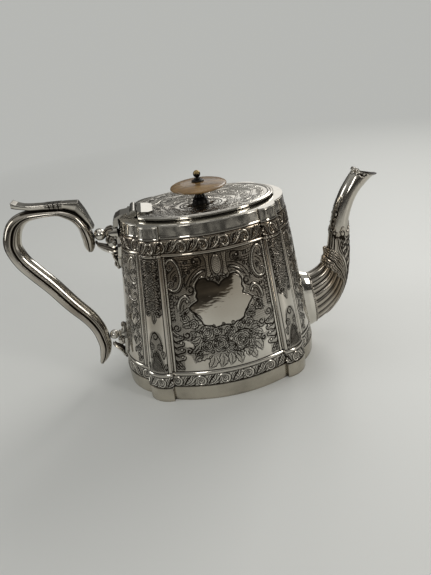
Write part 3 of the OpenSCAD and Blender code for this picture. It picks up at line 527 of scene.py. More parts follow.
    def inside(self, outline):
        """The grid points inside a closed outline, as a slice and a mask."""
        p = np.asarray(outline, float)
        i0 = max(0, int((p[:, 0].min() - self.u0) / self.pitch) - 1)
        i1 = min(self.nu, int((p[:, 0].max() - self.u0) / self.pitch) + 2)
        j0 = max(0, int((p[:, 1].min() - self.v0) / self.pitch) - 1)
        j1 = min(self.nv, int((p[:, 1].max() - self.v0) / self.pitch) + 2)
        U, V = self.U[j0:j1, i0:i1], self.V[j0:j1, i0:i1]
        odd = np.zeros(U.shape, bool)
        for (xa, ya), (xb, yb) in zip(p, np.roll(p, -1, axis=0)):
            if ya != yb:
                odd ^= ((ya > V) != (yb > V)) & (U < (xb - xa) * (V - ya) / (yb - ya) + xa)
        return (slice(j0, j1), slice(i0, i1)), odd

    def mask(self, outline, ground=None, high=0):
        """Sets the matted ground, and adds height, inside an outline."""
        where, odd = self.inside(outline)
        if ground is not None:
            self.ground[where][odd] = ground
        self.high[where][odd] = np.maximum(self.high[where][odd], high * 0.5)

    def hatch(self, outline, angle, gap, depth):
        """Fine parallel cuts inside an outline."""
        where, odd = self.inside(outline)
        a = math.radians(angle)
        s = self.U[where] * math.sin(a) + self.V[where] * math.cos(a)
        near = np.abs((s / gap) % 1 - 0.5) * gap
        val = np.clip(1 - (near / HATCH_REACH) ** 2, 0, 1) * depth
        self.cut[where] = np.where(odd, np.maximum(self.cut[where], val), self.cut[where])

    def clear(self, outline):
        where, odd = self.inside(outline)
        for layer in (self.cut, self.high, self.ground):
            layer[where][odd] = 0

    def sample(self, layer, u, v):
        """The layer's value at given places, blended between grid points."""
        x = np.clip((u - self.u0) / self.pitch, 0, self.nu - 1.001)
        y = np.clip((v - self.v0) / self.pitch, 0, self.nv - 1.001)
        i, j = x.astype(int), y.astype(int)
        fx, fy = x - i, y - j
        return ((layer[j, i] * (1 - fx) + layer[j, i + 1] * fx) * (1 - fy)
                + (layer[j + 1, i] * (1 - fx) + layer[j + 1, i + 1] * fx) * fy)

    def layers(self, u, v):
        return [self.sample(layer, u, v) for layer in (self.cut, self.high, self.ground)]


# The vine in a border: millimetres from one length to the next, and one length in eighths of its height
VINE_PITCH = 17.7
VINE_STEM = (-12.4, -3.7, -9, -2.9, -6, -0.4, -3.8, 2.5, -0.6, 3.4, 2.5, 2.3, 3.5, -0.4, 2.2, -2.8,
             -0.5, -3.2, -2.2, -1.5, -1.6, 0.7, 0.3, 1.1)
# Its strokes: width, depth, and x and y of each point
VINE_BLADES = ((0.85, 1, 5.2, -4, 6.4, -1.4, 8.2, 1.4, 10.6, 3.9),
               (0.6, 1, -7.2, -3.9, -5, -3.4, -3.6, -1.2), (0.28, 0.8, 3.6, 3.9, 3.2, 2.8),
               (0.28, 0.8, 3.4, -3.1, 4.4, -3.8), (0.28, 0.8, 0.2, 2.5, 1.7, 1.8),
               (0.28, 0.8, 2.5, 0.9, 2.6, -0.7), (0.28, 0.8, -1.4, -2.1, -0.2, -2.4))
VINE_FAN = ((4.4, -3.6, 5.2, -0.8, 7, 1.8, 9, 3.9), (4.4, -1.4, 5, 1, 6.6, 3.6),
            (-5.6, -2.4, -4.2, -0.8, -3.4, 1), (-8.4, -1.2, -9.6, 1, -9.4, 3.6),
            (-7.4, -0.2, -8, 1.8, -7, 3.8), (-6.4, 1.2, -6.2, 2.6, -5, 3.8))
# Heights of a wall's drawing, of the field and of the two borders: the vine's edges, then the ground's
PLATE_LOW, PLATE_HIGH = 11.5, 130
FIELD_LOW, FIELD_HIGH = 25, 109.5
BORDERS, BORDER_GROUND = ((12.9, 20.9, 12, 21), (112.4, 120.3, 112, 120.6)), 0.45
# Level ribs: a height, a width and how much each stands up or is cut
RAILS = ((110.9, 0.75, 1.3), (109.8, 0.45, -1), (112.1, 0.45, -1), (121.3, 0.5, -1), (120.2, 0.4, 0.7),
         (23.0, 0.85, 1.4), (24.5, 0.6, -1.0), (21.2, 0.45, -1), (12.7, 0.5, -0.8))


def vine(p, half, low, high, phase):
    """A running scroll: on each length of stem a wide spiral, a dark blade and a fan of strokes."""
    mid, h = (low + high) / 2, (high - low) / 8
    first = math.floor((-half - phase) / VINE_PITCH) - 1
    for k in range(first, first + int(2 * half / VINE_PITCH) + 4):
        at = (phase + k * VINE_PITCH, mid)
        p.band(pairs(VINE_STEM) * h + at, 1.7 * h, 1.2)
        p.boss(at[0] + 0.2 * h, mid + 0.1 * h, 0.7 * h)
        for w, depth, *xy in VINE_BLADES:
            p.line(pairs(xy) * h + at, w * h, depth)
        for xy in VINE_FAN:
            p.line(pairs(xy) * h + at, 0.36 * h, 0.95)
            p.stamp(p.high, curve((pairs(xy) + (0.7, 0)) * h + at), 0.4 * h, 1.1)


def panel(half, field, matt, hatching, phases, bare, ribs=()):
    """A plate with what every panel has: a matted field with bare patches, a vine in each border, ribs."""
    p = Plate(-half, half, PLATE_LOW, PLATE_HIGH)
    inner = block(field, FIELD_LOW, FIELD_HIGH)
    p.mask(inner, matt)
    p.hatch(inner, *hatching)
    for _, _, low, high in BORDERS:
        p.mask(block(half, low, high), BORDER_GROUND)
    for outline in bare:
        p.clear(outline)
    for (low, high, _, _), phase in zip(BORDERS, phases):
        vine(p, half, low, high, phase)
    u = np.arange(-half, half, 0.3)
    for v, w, up in RAILS:
        p.rib(np.c_[u, np.full(len(u), v)], w, up)
    for side in (1, -1):
        for u, w, up in ribs:
            p.rib(upright(side * u), w, up)
    return p


def upright(u):
    return np.c_[np.full(290, u), np.linspace(FIELD_LOW, FIELD_HIGH - 0.1, 290)]


# The front panel above and beside the cartouche, drawn on both halves: the C-scrolls, and the lines and arcs
# that sweep from them to the middle
FRONT_UPPER = dict(
    bands=((1.7, 37.6, 104, 36.2, 103.6, 36, 101.8, 38, 100.8, 39.8, 102.5, 39.8, 105.5, 37.5, 107.8,
            34, 107.4, 31, 104, 29.5, 98.6, 29.4, 94.4, 30.6, 90.6, 33, 87.6, 36.6, 86.7, 39.4, 88.5,
            39.6, 91, 38, 92.8, 36, 92.2, 35.8, 90.6, 37, 89.8),
           (1.2, 9, 99.1, 13.8, 98, 18.4, 95.4, 21.8, 91.6)),
    lines=((0.42, 1, 27.6, 104, 27, 99, 27.2, 94, 28.6, 89.5, 31.4, 86, 35.5, 84.8, 39.5, 85.8),
           (0.36, 0.8, 26, 102.5, 25.8, 98, 26.4, 92, 27.6, 87.8),
           (0.4, 0.9, 40.3, 108.8, 36, 109, 32.6, 108.2, 29.4, 105.6),
           (0.34, 0.85, 32, 101, 34.5, 99.6, 36.6, 97.6, 37.4, 95),
           (0.34, 0.85, 32.4, 98.4, 34.6, 96.6, 36, 94.2), (0.34, 0.85, 33.4, 103.6, 36, 101, 39.4, 98.6),
           (0.34, 0.85, 38.6, 100.6, 40, 97.4, 39.4, 94.6), (0.34, 0.85, 33, 94.6, 34.6, 92.6),
           (0.34, 0.85, 31.8, 96.4, 34, 94),
           (0.38, 0.9, 30.5, 107.8, 25, 106.9, 19.6, 107.3, 14, 108.6, 10, 108.4),
           (0.38, 0.9, 30, 105.4, 25, 104.4, 20.6, 104.8),
           (0.38, 0.9, 28.8, 103.3, 24, 102.6, 19.4, 103, 13, 103.6),
           (0.38, 0.9, 28, 101.4, 23, 101, 18, 102.1, 12, 102.8),
           (0.38, 0.9, 27, 99.6, 24, 99.4, 20, 100.6, 14.5, 101.8),
           (0.62, 1, 12.2, 103.4, 11.6, 106, 13.4, 108, 16.4, 108, 18.9, 106.3, 18.4, 104.6, 16.4, 104.6,
            15.8, 106), (0.44, 1, 4.6, 109.6, 5.5, 105, 5.4, 100, 4.4, 96, 3, 93.4),
           (0.44, 1, 9.6, 109.6, 8.3, 106, 7.9, 101, 8.7, 96.5, 10.4, 93.8),
           (0.42, 1, 8.8, 102.1, 14, 101, 19, 98.3, 23, 94.3, 25.4, 90, 25.6, 86.5),
           (0.42, 1, 9, 100, 13.6, 99, 18, 96.4, 21.4, 92.6, 23.2, 89.2),
           (0.4, 1, 9.2, 98.2, 13, 97.2, 16.6, 94.9, 19.6, 91.6),
           (0.34, 1, 10, 96.2, 12.6, 95.4, 15.2, 93.8, 17.4, 91.6),
           (0.42, 1, 20, 89.6, 19.8, 86.4, 21.4, 83.6, 24.6, 82.8, 26.8, 84.2)),
    curls=((0.42, 1, 22.6, 98.6, 1.5, 60, 400, 0.2), (0.42, 1, 33.6, 82, 1.7, 60, -400, 0.2),
           (0.42, 1, 30.6, 66.6, 1.6, 60, 400, 0.2), (0.42, 1, 14.6, 105.4, 1.2, 60, -400, 0.2),
           (0.5, 1, 22.6, 86.6, 2.7, 100, 330, 0.25)),
    leaves=((27.4, 95, 23.6, 97.4, 2, 2, 1.2), (28, 88.6, 25.6, 91.6, 1.8, 2, 1.2),
            (36.6, 83.6, 39.6, 81, 2.2, 2, 1.2), (34.4, 79, 38, 76.6, 2, 2, 1.2),
            (22, 105.6, 26.4, 105.8, 1.7, 2, 1.2), (33.4, 92.6, 32.4, 97, 1.9, 2, 1.2)),
    bosses=((17.1, 105.6, 0.9, 0.8),))
# Beside and under the cartouche: the arched scrolls, their leaves and the hanging scrolls
FRONT_MIDDLE = dict(
    bands=((1.9, 24.6, 77.8, 24.6, 80.2, 26.6, 82.2, 29.4, 82, 31.8, 79.8, 33.4, 76, 34, 71.5),
           (1.3, 40.6, 61.6, 40, 57.4, 37.4, 54.4, 34, 53.2)),
    lines=((0.36, 0.9, 0, 89.4, 1.6, 91.6, 1.2, 93.6), (0.36, 0.9, 0.4, 94.6, 3, 93.2, 6.4, 93.4, 8.4, 94.8),
           (0.4, 0.95, 27, 76.6, 27.4, 78.8, 29, 79.2, 30.7, 77.2, 31.8, 73.8, 32, 71),
           (0.34, 0.8, 28.6, 76.6, 29.6, 75, 29.8, 72.4),
           (0.42, 0.95, 40.4, 34, 38.6, 31.6, 36.4, 29.6, 33.8, 29),
           (0.4, 0.9, 31.4, 50.6, 28, 49.6, 25.4, 51.4, 25, 54.6),
           (0.4, 0.9, 25.6, 41.4, 24.2, 44, 25.2, 46.8)),
    curls=((0.44, 1, 36.3, 59.4, 3.1, 160, 520, 0.2), (0.5, 1, 28.6, 41.2, 2.9, 60, 420, 0.22),
           (0.5, 1, 29.2, 53.8, 2.9, 30, -430, 0.22)),
    leaves=((2.6, 95.4, 7.6, 92.6, 3.2, 2), (1.2, 94.6, 0.4, 90, 3, 2), (31, 70.5, 24.6, 74.8, 3.6, 3),
            (33.6, 69.5, 27, 70.6, 3.2, 3), (38.6, 33, 32.8, 26.6, 4.2, 3), (40, 30, 38, 26, 2.4, 2)),
    bosses=((25.9, 78.8, 1.2, 1.2), (28.4, 40.8, 0.9, 1.2)))
# Half of the cartouche's outline, from its top to its foot
CARTOUCHE = pairs((0, 87.2, 2, 89.3, 4.6, 91, 8, 91.8, 10.2, 93.6, 13.2, 93.6, 16.2, 92, 18.2, 89.6,
                   18.4, 86.8, 17.8, 84.2, 18.8, 81.6, 17.8, 79, 19.4, 77.7, 22.2, 76.3, 24.8, 73.8,
                   23.2, 71.4, 21.4, 69.6, 19.2, 66.4, 16.8, 63.6, 15.6, 60.8, 12.4, 59.4, 9.4, 59,
                   6.8, 57.4, 3.4, 58, 0, 58.6))
BOUQUET_FOOT = (-24.6, 25.2, -24.6, 31, -19, 36, -10, 35, 0, 33.6, 10, 34, 18, 36.6, 24.6, 31, 24.6, 25.2,
                -24.6, 25.2)
BOUQUET_GROUND = (-21, 40, -18, 48, -21, 56, -18, 61, -9, 57.4, 0, 58.2, 9, 58.6, 17, 62, 22, 60, 21, 50,
                  20, 42, 14, 37, 6, 35, -4, 36, -12, 37, -21, 40)
# The bouquet. Leaves: stalk, tip, width, lobes. Roses: place, size, rows, petals, angle
BOUQUET_LEAVES = ((-13, 38, -25.4, 32.6, 8.6, 4), (-20, 46, -27.4, 39.6, 5, 3), (-10.6, 36, -15.6, 26, 7.4, 3),
                  (-4.4, 37, -6.6, 25.6, 7.6, 3), (1.4, 36.4, 0.6, 26.2, 6.6, 3), (5.6, 36, 9, 25.8, 7.2, 3),
                  (9.6, 38.4, 9.8, 31, 6, 2), (13.6, 39.4, 15.4, 29.4, 7.4, 3), (18.4, 42.6, 21.6, 34, 5.6, 2),
                  (15.2, 35.4, 20.8, 26.4, 6.4, 3), (20.4, 41.4, 26.4, 31.4, 7, 3),
                  (21.6, 48.6, 29, 43.6, 5, 3), (-18.6, 41, -24.6, 36.6, 5, 2), (-16, 60.6, -23.6, 56.4, 5, 3),
                  (17, 60.6, 25.6, 60.4, 5, 3), (-19, 51.6, -27.6, 48.4, 5, 3),
                  (-16.6, 64.6, -22.8, 71.4, 4.4, 3), (19, 53, 28, 51.6, 5.2, 3), (-24, 63, -32.6, 61, 5, 3),
                  (24, 66, 33.6, 62.6, 5, 3))
BOUQUET_ROSES = ((12.2, 44, 6.6, 4, 5, 0.3), (-4.8, 44.6, 6.2, 4, 5, 1.1), (-14.2, 54.4, 5.2, 3, 5, 0.2),
                 (-14.6, 44.4, 4.6, 3, 5, 0.8), (3.2, 52.6, 4.2, 3, 6, 0.5), (21.6, 64.2, 3.9, 3, 5, 0.1),
                 (29.2, 66.6, 3.4, 2, 5, 0.6), (19.6, 56, 3.2, 2, 5, 0.9), (-23, 61.8, 3.4, 2, 5, 0.4),
                 (-29.4, 66, 3.2, 2, 5, 0.2), (12.2, 55.2, 3.2, 2, 5, 0.7), (-6.2, 54.4, 3.2, 2, 5, 0.3),
                 (2.6, 40.2, 4.4, 3, 5, 0.5), (-24.6, 54.2, 2.4, 2, 5, 0.1), (19.8, 47.8, 2.6, 2, 5, 0.2))


def front_plate():
    """The chasing of the front panel. Coordinates are millimetres along the panel at the foot, and height."""
    p = panel(44, 42, 0.75, (35, 1.25, 0.3), (-5.2, -8.2),
              both(20, 25, 20.5, 30, 25.5, 31, 27.5, 37, 31, 39, 33.5, 37, 33, 31, 33.5, 25)
              + both(24.5, 45, 27, 50, 31.5, 50, 32.5, 46, 29, 43.5),
              ((41.3, 0.8, 1.6), (42.5, 0.4, -1), (40.2, 0.4, -1), (43.4, 0.6, 1.4)))
    p.draw(**FRONT_UPPER)
    for k in range(4):
        p.draw(lines=((0.26, 0.6, 20.6 + k * 1.2, 90.4 - k * 0.2, 22.4 + k * 0.9, 88.6 - k * 0.4),
                      (0.22, 0.55, 36.2 + k * 1.1, 66.6, 37.6 + k * 1.1, 63.4)))
    # the oval boss and the plain strips beside it
    p.mask(ring(0, 102, 3.7, 6.6), 0.15, 0.9)
    p.line(ring(0, 102, 3.9, 6.8), 0.46, 1, taper=False)
    p.line(ring(0, 102, 2.5, 5.2), 0.26, 0.6, taper=False)
    for strip in both(5.6, 109, 8.8, 109, 7.6, 101, 8.3, 95.5, 6, 94.5, 5, 97, 5.9, 101):
        p.mask(strip, 0.12, 0.3)
    # the cartouche
    whole = curve(np.vstack([CARTOUCHE * (-1, 1), CARTOUCHE[:-1][::-1]]))
    p.clear(whole)
    where, odd = p.inside(whole)
    p.field[where][odd] = 1
    for s in copies(True):
        p.stamp(p.cut, curve(CARTOUCHE) * s, 0.62, 1.0)
        p.stamp(p.high, curve((CARTOUCHE - (0, 76)) * (1.04, 1.045) + (0.5, 76)) * s, 0.55, 0.9)
    p.draw(**FRONT_MIDDLE)
    # small scrolls along the rib, and the ragged leaf below them
    for v, f in ((84.2, 1), (79.6, 0.8), (75, 1), (70.2, 0.9), (66, 0.8)):
        p.draw(curls=((0.44, 1, 39, v, 2.1 * f, 130, -330, 0.25),),
               lines=((0.34, 0.8, 36.6, v + 2.4, 37.4, v + 0.6, 36.4, v - 1.4),))
    for v, r in ((52.6, 1.5), (47.9, 1.6), (42.6, 1.5), (36.8, 1.5)):
        p.draw(bosses=((34.4, v, r * 0.75, 1.3),),
               lines=((0.5, 1, 40.4, v - 1.4, 38.6, v - 4, 35.4, v - 3.1, 32.4, v - 2.2, 31.8, v - 0.2,
                       33.4, v + 0.6),
                      (0.3, 0.7, 40.2, v - 3.6, 38, v - 5.2, 35.8, v - 5),
                      (0.32, 0.8, 39.8, v + 1.6, 38.2, v, 36.2, v - 0.8)))
    # the bouquet
    p.clear(curve(pairs(BOUQUET_FOOT)))
    p.mask(curve(pairs(BOUQUET_GROUND)), 0.9)
    for k in range(46):
        x, y = -22 + (k * 7.13) % 44, 36.5 + (k * 4.37) % 22
        p.leaf(x, y, x + 3.4 * math.cos(k * 2.4), y + 3.4 * math.sin(k * 2.4), 2.5, 2, 0.7)
    p.draw(False, leaves=BOUQUET_LEAVES, bosses=((3, 47.2, 1.7, 1.6),),
           lines=((0.6, 1, 7, 50.4, 11, 52, 15.4, 51.8, 19, 50.2),
                  (0.5, 1, 5.6, 36.8, 8.8, 36.2, 12.6, 37.4, 15.4, 40.6)))
    for row in BOUQUET_ROSES:
        p.rose(*row)
    return p


# The end panel, drawn on both halves
END_SCROLLS = dict(
    bands=((2.1, 29.6, 103, 31, 102.2, 31.6, 104.4, 30, 106.6, 26.8, 107, 24, 104.6, 22.6, 100, 22.8, 95,
            25, 90.6, 28.8, 88.6, 31.4, 90.6, 30.6, 92.8, 28.8, 92),
           (1.7, 14, 99.4, 15.6, 100.6, 14.6, 102.8, 11.6, 103, 9.6, 100, 10.2, 95.4, 13.8, 92, 17.6, 88,
            18.8, 82.6, 17.2, 78.6, 14.4, 78.4, 14, 80.6),
           (1.6, 27.6, 80.4, 29.4, 81.6, 31, 79.6, 29.8, 76.8, 25.6, 75.6, 21, 77.6, 18.2, 74, 17.6, 68.6,
            20, 64.6, 23.2, 65.4, 22.6, 68)),
    leaves=((25, 87.6, 31.6, 85.4, 2.4, 2, 1.1), (28.6, 98.6, 25.6, 94.4, 2.4, 2, 1.1),
            (32.2, 99.6, 30, 95.6, 2.4, 2, 1.1), (11.6, 97.6, 14.4, 94, 2.4, 2, 1.1),
            (19.4, 108.2, 24.8, 109, 2.4, 2, 1.1), (9, 92.4, 12.8, 89.2, 2.4, 2, 1.1),
            (21, 71.6, 25.8, 69.4, 2.4, 2, 1.1), (7.4, 40, 10.8, 35, 2.4, 2, 1.1)))
END_LEAVES = ((6.6, 106, 12.4, 107.6, 3.2, 2), (17, 106, 21, 102, 3, 2), (14.6, 62.6, 10.8, 56, 3.6, 3),
              (15.6, 49.4, 12, 41.4, 4, 3), (18.6, 58, 24, 53.4, 3.4, 3), (17.6, 46, 16, 38.6, 3.6, 3),
              (23.4, 47, 25.4, 39.6, 3.4, 3), (30.6, 33, 27.6, 26.4, 3.8, 3), (19, 80, 23.6, 82.6, 3, 2),
              (9.6, 33, 12.6, 27, 3.4, 3), (3, 29, 4.6, 25.8, 2.6, 2))
# The bare middle of an end panel
END_BARE = (0, 88, 8, 90, 13, 84, 13, 70, 10, 60, 10, 46, 6, 34, 0, 30, -6, 34, -10, 46, -10, 60, -13, 70,
            -13, 84, -8, 90, 0, 88)
END_ROSES = ((5, 100), (14.6, 86.6), (20, 96), (22, 85), (16.4, 66), (15.6, 52.6), (21.6, 50.6))


def end_plate():
    """The chasing of an end panel: the same borders, and scrolls with hanging flowers."""
    p = panel(36.5, 34.6, 0.5, (35, 1.25, 0.28), (1.0, 2.5),
              both(12, 25, 13, 33, 18, 37, 20, 44, 24, 42, 25, 34, 27, 30, 27, 25)
              + both(20, 58, 22, 64, 26, 66, 27, 60, 24, 56)
              + [curve(pairs(END_BARE))],
              ((34, 0.75, 1.6), (35.2, 0.4, -1), (32.9, 0.4, -1)))
    p.draw(**END_SCROLLS)
    for k, v in enumerate((72, 63, 54, 45, 36)):
        way = 1 if k % 2 else -1
        p.band(curl(29.2 + 0.7 * way, v, 2.9, 90 + 70 * way, -420 * way, 0.2), 1.1, 1.2, mirror=True)
        p.draw(leaves=((29.2 + 2.6 * way, v - 2.8, 28.6 - 2.4 * way, v - 7.2, 2.6, 3, 1.2),
                       (26.6, v + 2.2, 24.4, v - 3.6, 2.2, 2, 1.1)))
    for k, (u, v) in enumerate(END_ROSES):
        p.rose(u, v, 3.1 - 0.1 * k, 2, 5, k * 0.4, mirror=True)
    p.leaf(0, 108, 0, 98.6, 5, 3)
    p.draw(leaves=END_LEAVES)
    return p


# The bare middle of a pilaster
PILASTER_BARE = (-10, 72, -6, 69.6, -3, 70.4, -1.6, 66, 0.8, 63.2, 2, 66, 3.4, 70, 7, 69, 10, 71.6, 10, 60,
                 10, 34, 8.4, 30, 6.4, 40, 7, 50, 4.8, 56.6, 0, 58.6, -4.8, 56.6, -7, 50, -6.4, 40,
                 -8.4, 30, -10, 34, -10, 60, -10, 72)
TENT = (0, 42.6, 2.4, 37, 5.6, 26.4, -5.6, 26.4, -2.4, 37)


def corner_plate():
    """The chasing of a pilaster: borders, a hanging floral drop, a plain middle and a tent at the foot."""
    p = panel(12, 10, 0.6, (-40, 1.1, 0.3), (2.4, 2.4), [curve(pairs(PILASTER_BARE))], ((10.3, 0.5, 1.5),))
    # the drop of flowers
    for v, r, phase in ((104.6, 3.4, 0.2), (95.8, 4.2, 0.6), (86.6, 4.0, 0.1), (77.4, 3.6, 0.5)):
        p.rose(0, v, r, 3, 5, phase)
    for v in (108.6, 100.2, 91.2, 82, 73.6):
        p.draw(leaves=((2.2, v, 8.6, v - 3.4, 3.6), (4.4, v + 2.4, 9.6, v + 3.4, 2.6, 2)))
    p.leaf(0, 73.6, 0.6, 64, 4.4, 3)
    p.leaf(3, 73, 7.6, 69.8, 3, 2, mirror=True)
    for v in (98, 89, 80):
        p.draw(curls=((0.4, 0.95, 7.4, v, 1.9, 200, 360, 0.25),))
    for v in range(75, 106, 5):
        p.leaf(6.6, v, 9.2, v + 3.8, 2.3, 2, 1.3, mirror=True)
    p.line([(9.7, 25.4), (9.7, 109)], 0.5, 1.1, taper=False, mirror=True)
    # the scroll and the tent below the plain field
    p.line(curl(0, 54.2, 3.6, 200, -500, 0.2), 0.5, 1)
    p.line(pairs((-6.6, 40, -6, 47, -4.4, 53, 0, 57.6, 4.4, 53, 6, 47, 6.6, 40)), 0.42, 1)
    for k in (1, -1):
        p.rose(4.4 * k, 46.4, 2.5, 2, 5, 0.4)
        p.leaf(5.4 * k, 43.6, 6.8 * k, 36, 3.2, 3)
        p.leaf(8.6 * k, 33, 9.2 * k, 26.6, 2.6, 2)
    p.draw(lines=((0.5, 1, 0, 43.6, 2.6, 37.4, 4.8, 31, 6.6, 25.6),
                  (0.4, 0.9, 0.9, 44.6, 3.8, 37.8, 6.2, 31, 8.2, 25.8)))
    p.hatch(pairs(TENT), 50, 1.15, 0.75)
    p.hatch(pairs(TENT), -50, 1.15, 0.5)
    return p


# The lid's drawing, by the share of its half axes: plain lines and their width, wavy bands and their number of
# waves, and wreaths with the number of their curls, the curls' size and the angle of the first
LID_PLATE = (-52, 52, -34.5, 34.5, 0.25)
LID_LINES = ((0.97, 0.4), (0.93, 0.5), (0.29, 0.5), (0.25, 0.4))
LID_WAVE, LID_WAVES = 0.025, ((0.71, 9), (0.5, 7))
LID_WREATHS = ((0.825, 22, 3.0, 3), (0.605, 16, 3.3, 9), (0.395, 10, 2.9, 0))


def lid_plate_art():
    """The chasing of the lid: a double line at the edge, and wreaths of scrolls round the finial's seat."""
    p = Plate(*LID_PLATE)

    def place(share, angle):
        a = math.radians(angle)
        return np.array([LID_A * share * math.cos(a), LID_B * share * math.sin(a)])

    def oval(share, step=3, waves=0):
        return np.array([place(share + LID_WAVE * math.sin(math.radians(a * waves)), a)
                         for a in range(0, 361, step)])

    p.mask(oval(0.93), 0.6)
    for k in range(12):
        p.leaf(*place(0.1, k * 30 + 8), *place(0.235, k * 30 + 16), 2.6, 3, 1.0)
    for share, w in LID_LINES:
        p.line(oval(share), w, 1.0, taper=False)
    p.stamp(p.high, oval(0.95, 1), 0.6, 1.4)
    for share, waves in LID_WAVES:
        p.band(oval(share, 4, waves), 1.3, 1.2, taper=False)
    for share, count, r, shift in LID_WREATHS:
        for k in range(count):
            a = k * 360 / count + shift
            way = 1 if k % 2 else -1
            x, y = place(share, a)
            if k % 5 == 2:
                p.rose(x, y, r, 2, 5, 0.4 * k)
            else:
                face = math.degrees(math.atan2(y, x))
                p.band(curl(x, y, r * 0.9, face + 140 * way, -400 * way, 0.25), 1.1, 1.3)
            for turn, reach in ((180 / count, 0.045), (150 / count, -0.05), (205 / count, -0.02)):
                p.leaf(*place(share - reach, a + turn), *place(share + reach, a + turn * 1.15), 1.9, 2, 0.9)
    return p


# ---------------------------------------------------------------- the body's wall

# The drawn plan of the body at the foot, in millimetres, as the CAD has it
END_HALF, END_BOW = 31.0, 15.6
FRONT_HALF, FRONT_BOW = 42.7, 8.6
CHEEK, CHEEK_LEAN = 5.8, -0.15
STEP, STEP_LEAN = 2.1, 0.3
PILASTER_BOW, PILASTER_FACES = 2.6, (0.55, 0.83)
FOOT_SET_BACK = 0.6
RIM_OVERHANG = 0.2


def low_corner(node):
    return np.array(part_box(node)[0]) / MM


def high_corner(node):
    return np.array(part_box(node)[1]) / MM


def radius(half, bow):
    return (half * half + bow * bow) / (2 * bow)


def half_arc(half, bow):
    return radius(half, bow) * math.asin(half / radius(half, bow))


FOOT_A, FOOT_B, FOOT_TOP = high_corner("foot_band")
RIM_A, RIM_B, RIM_TOP = high_corner("rim_plate") - (RIM_OVERHANG, RIM_OVERHANG, 0)
WALL_TOP = low_corner("rim_plate")[2]
FRONT_ARC, END_ARC = half_arc(FRONT_HALF, FRONT_BOW), half_arc(END_HALF, END_BOW)
END_EDGE = np.array([FOOT_A - END_BOW, END_HALF])
FRONT_EDGE = np.array([FRONT_HALF, FOOT_B - FRONT_BOW])
# Half widths of the end's and the pilaster's drawings
PLATE_END, PLATE_CORNER = 36.0, 12.0
CHEEK_COLS, STEP_COLS = 12, 6
# The skin's rows and columns, and how far it stands off the wall: as a rule, in cuts and at its edges
SKIN_STEP = 0.38
SKIN_OUT, SKIN_LEAST, SKIN_EDGE = 0.42, 0.06, 0.02
# The plain band under the rim, where the skin is thinner
BAND_FROM, BAND_THIN_FROM, BAND_THINNER = 121.0, 121.6, 0.32
# Millimetres for raised work, how much of it counts, and millimetres for cuts and for the matted ground
WALL_RELIEF, LID_RELIEF = (0.2, 1.4, 0.34, 0.08), (0.17, 1.3, 0.22, 0.05)
# What makes the skin dark: cuts, matted ground and age. Raised work is painted bright, as a painted highlight.
CUT_DARK, GROUND_DARK, AGE_DARK, RAISED_PAINTED_HIGHLIGHT = 1.1, 0.33, 0.14, 0.42
# Where the cartouche's stain starts: along the panel, and height
STAIN_EDGE = ((-26, -17, -5, 5, 10, 12, 14), (66, 69, 74.5, 79, 83, 90, 100))


def share_at(z):
    """How much the plan has narrowed at a height: along X and along Y."""
    f = (z - FOOT_TOP) / (RIM_TOP - FOOT_TOP)
    a, b = FOOT_A - FOOT_SET_BACK, FOOT_B - FOOT_SET_BACK
    return (a + (RIM_A - a) * f) / FOOT_A, (b + (RIM_B - b) * f) / FOOT_B


def arc_at(half, bow, s):
    """Places and normals of a bowed panel: [along its chord, over its chord]."""
    r = radius(half, bow)
    a = s / r
    return np.c_[r * np.sin(a), r * np.cos(a) - (r - bow)], np.c_[np.sin(a), np.cos(a)]


def straight(a, b, n):
    way = (b - a) / np.linalg.norm(b - a)
    return a + np.outer(np.linspace(0, 1, n), b - a), np.tile([way[1], -way[0]], (n, 1))


def front_columns():
    """Columns of the panel at +Y from +X to -X: places, normals and u."""
    s = np.linspace(FRONT_ARC, -FRONT_ARC, int(2 * FRONT_ARC / SKIN_STEP))
    p, n = arc_at(FRONT_HALF, FRONT_BOW, s)
    return p + (0, FRONT_EDGE[1]), n, s


def end_columns():
    """Columns of the panel at +X from -Y to +Y."""
    s = np.linspace(-1, 1, int(2 * END_ARC / SKIN_STEP))
    p, n = arc_at(END_HALF, END_BOW, s * END_ARC)
    return p[:, ::-1] + (END_EDGE[0], 0), n[:, ::-1], s * PLATE_END


def corner_columns():
    """Columns of the pilaster at +X +Y, from the end panel to the front panel, with its two cheeks."""
    pil_end = END_EDGE + np.array([CHEEK_LEAN, 1]) * CHEEK
    pil_front = FRONT_EDGE + np.array([STEP_LEAN, 1]) * STEP
    crown = (pil_end + pil_front) / 2 + np.array(PILASTER_FACES) * 2 * PILASTER_BOW
    cheek, cheek_n = straight(END_EDGE, pil_end, CHEEK_COLS)
    step, step_n = straight(pil_front, FRONT_EDGE, STEP_COLS)
    s = np.linspace(0, 1, int(2 * PLATE_CORNER / SKIN_STEP))
    t = s[:, None]
    face = (1 - t) ** 2 * pil_end + 2 * t * (1 - t) * crown + t * t * pil_front
    face_n = -across((1 - t) * (crown - pil_end) + t * (pil_front - crown))
    u = np.r_[np.full(CHEEK_COLS, -1), s * 2 - 1, np.full(STEP_COLS, 1)] * PLATE_CORNER
    return [cheek, face, step], [cheek_n, face_n, step_n], u


def join(parts, normals, before, after):
    """Joins stretches of columns. Where two meet, a column gets both their normals."""
    p, n1, n2 = np.vstack(parts), np.vstack(normals), np.vstack(normals)
    at = 0
    for here, there in zip(normals, normals[1:]):
        at += len(here)
        n2[at - 1], n1[at] = there[0], here[-1]
    n1[0], n2[-1] = before, after
    return p, n1, n2


def wall_surface(p, n1, n2, z, out):
    """The wall's surface, moved out by a distance at each place: a row for each height."""
    k = np.stack(share_at(z), -1)[:, None, :]
    a, b = (n[None] / k / np.linalg.norm(n[None] / k, axis=-1, keepdims=True) for n in (n1, n2))
    mitre = (a + b) / (1 + (a * b).sum(-1, keepdims=True))
    xy = p[None] * k + mitre * out[..., None]
    return np.dstack([xy, np.broadcast_to(z[:, None], out.shape)])


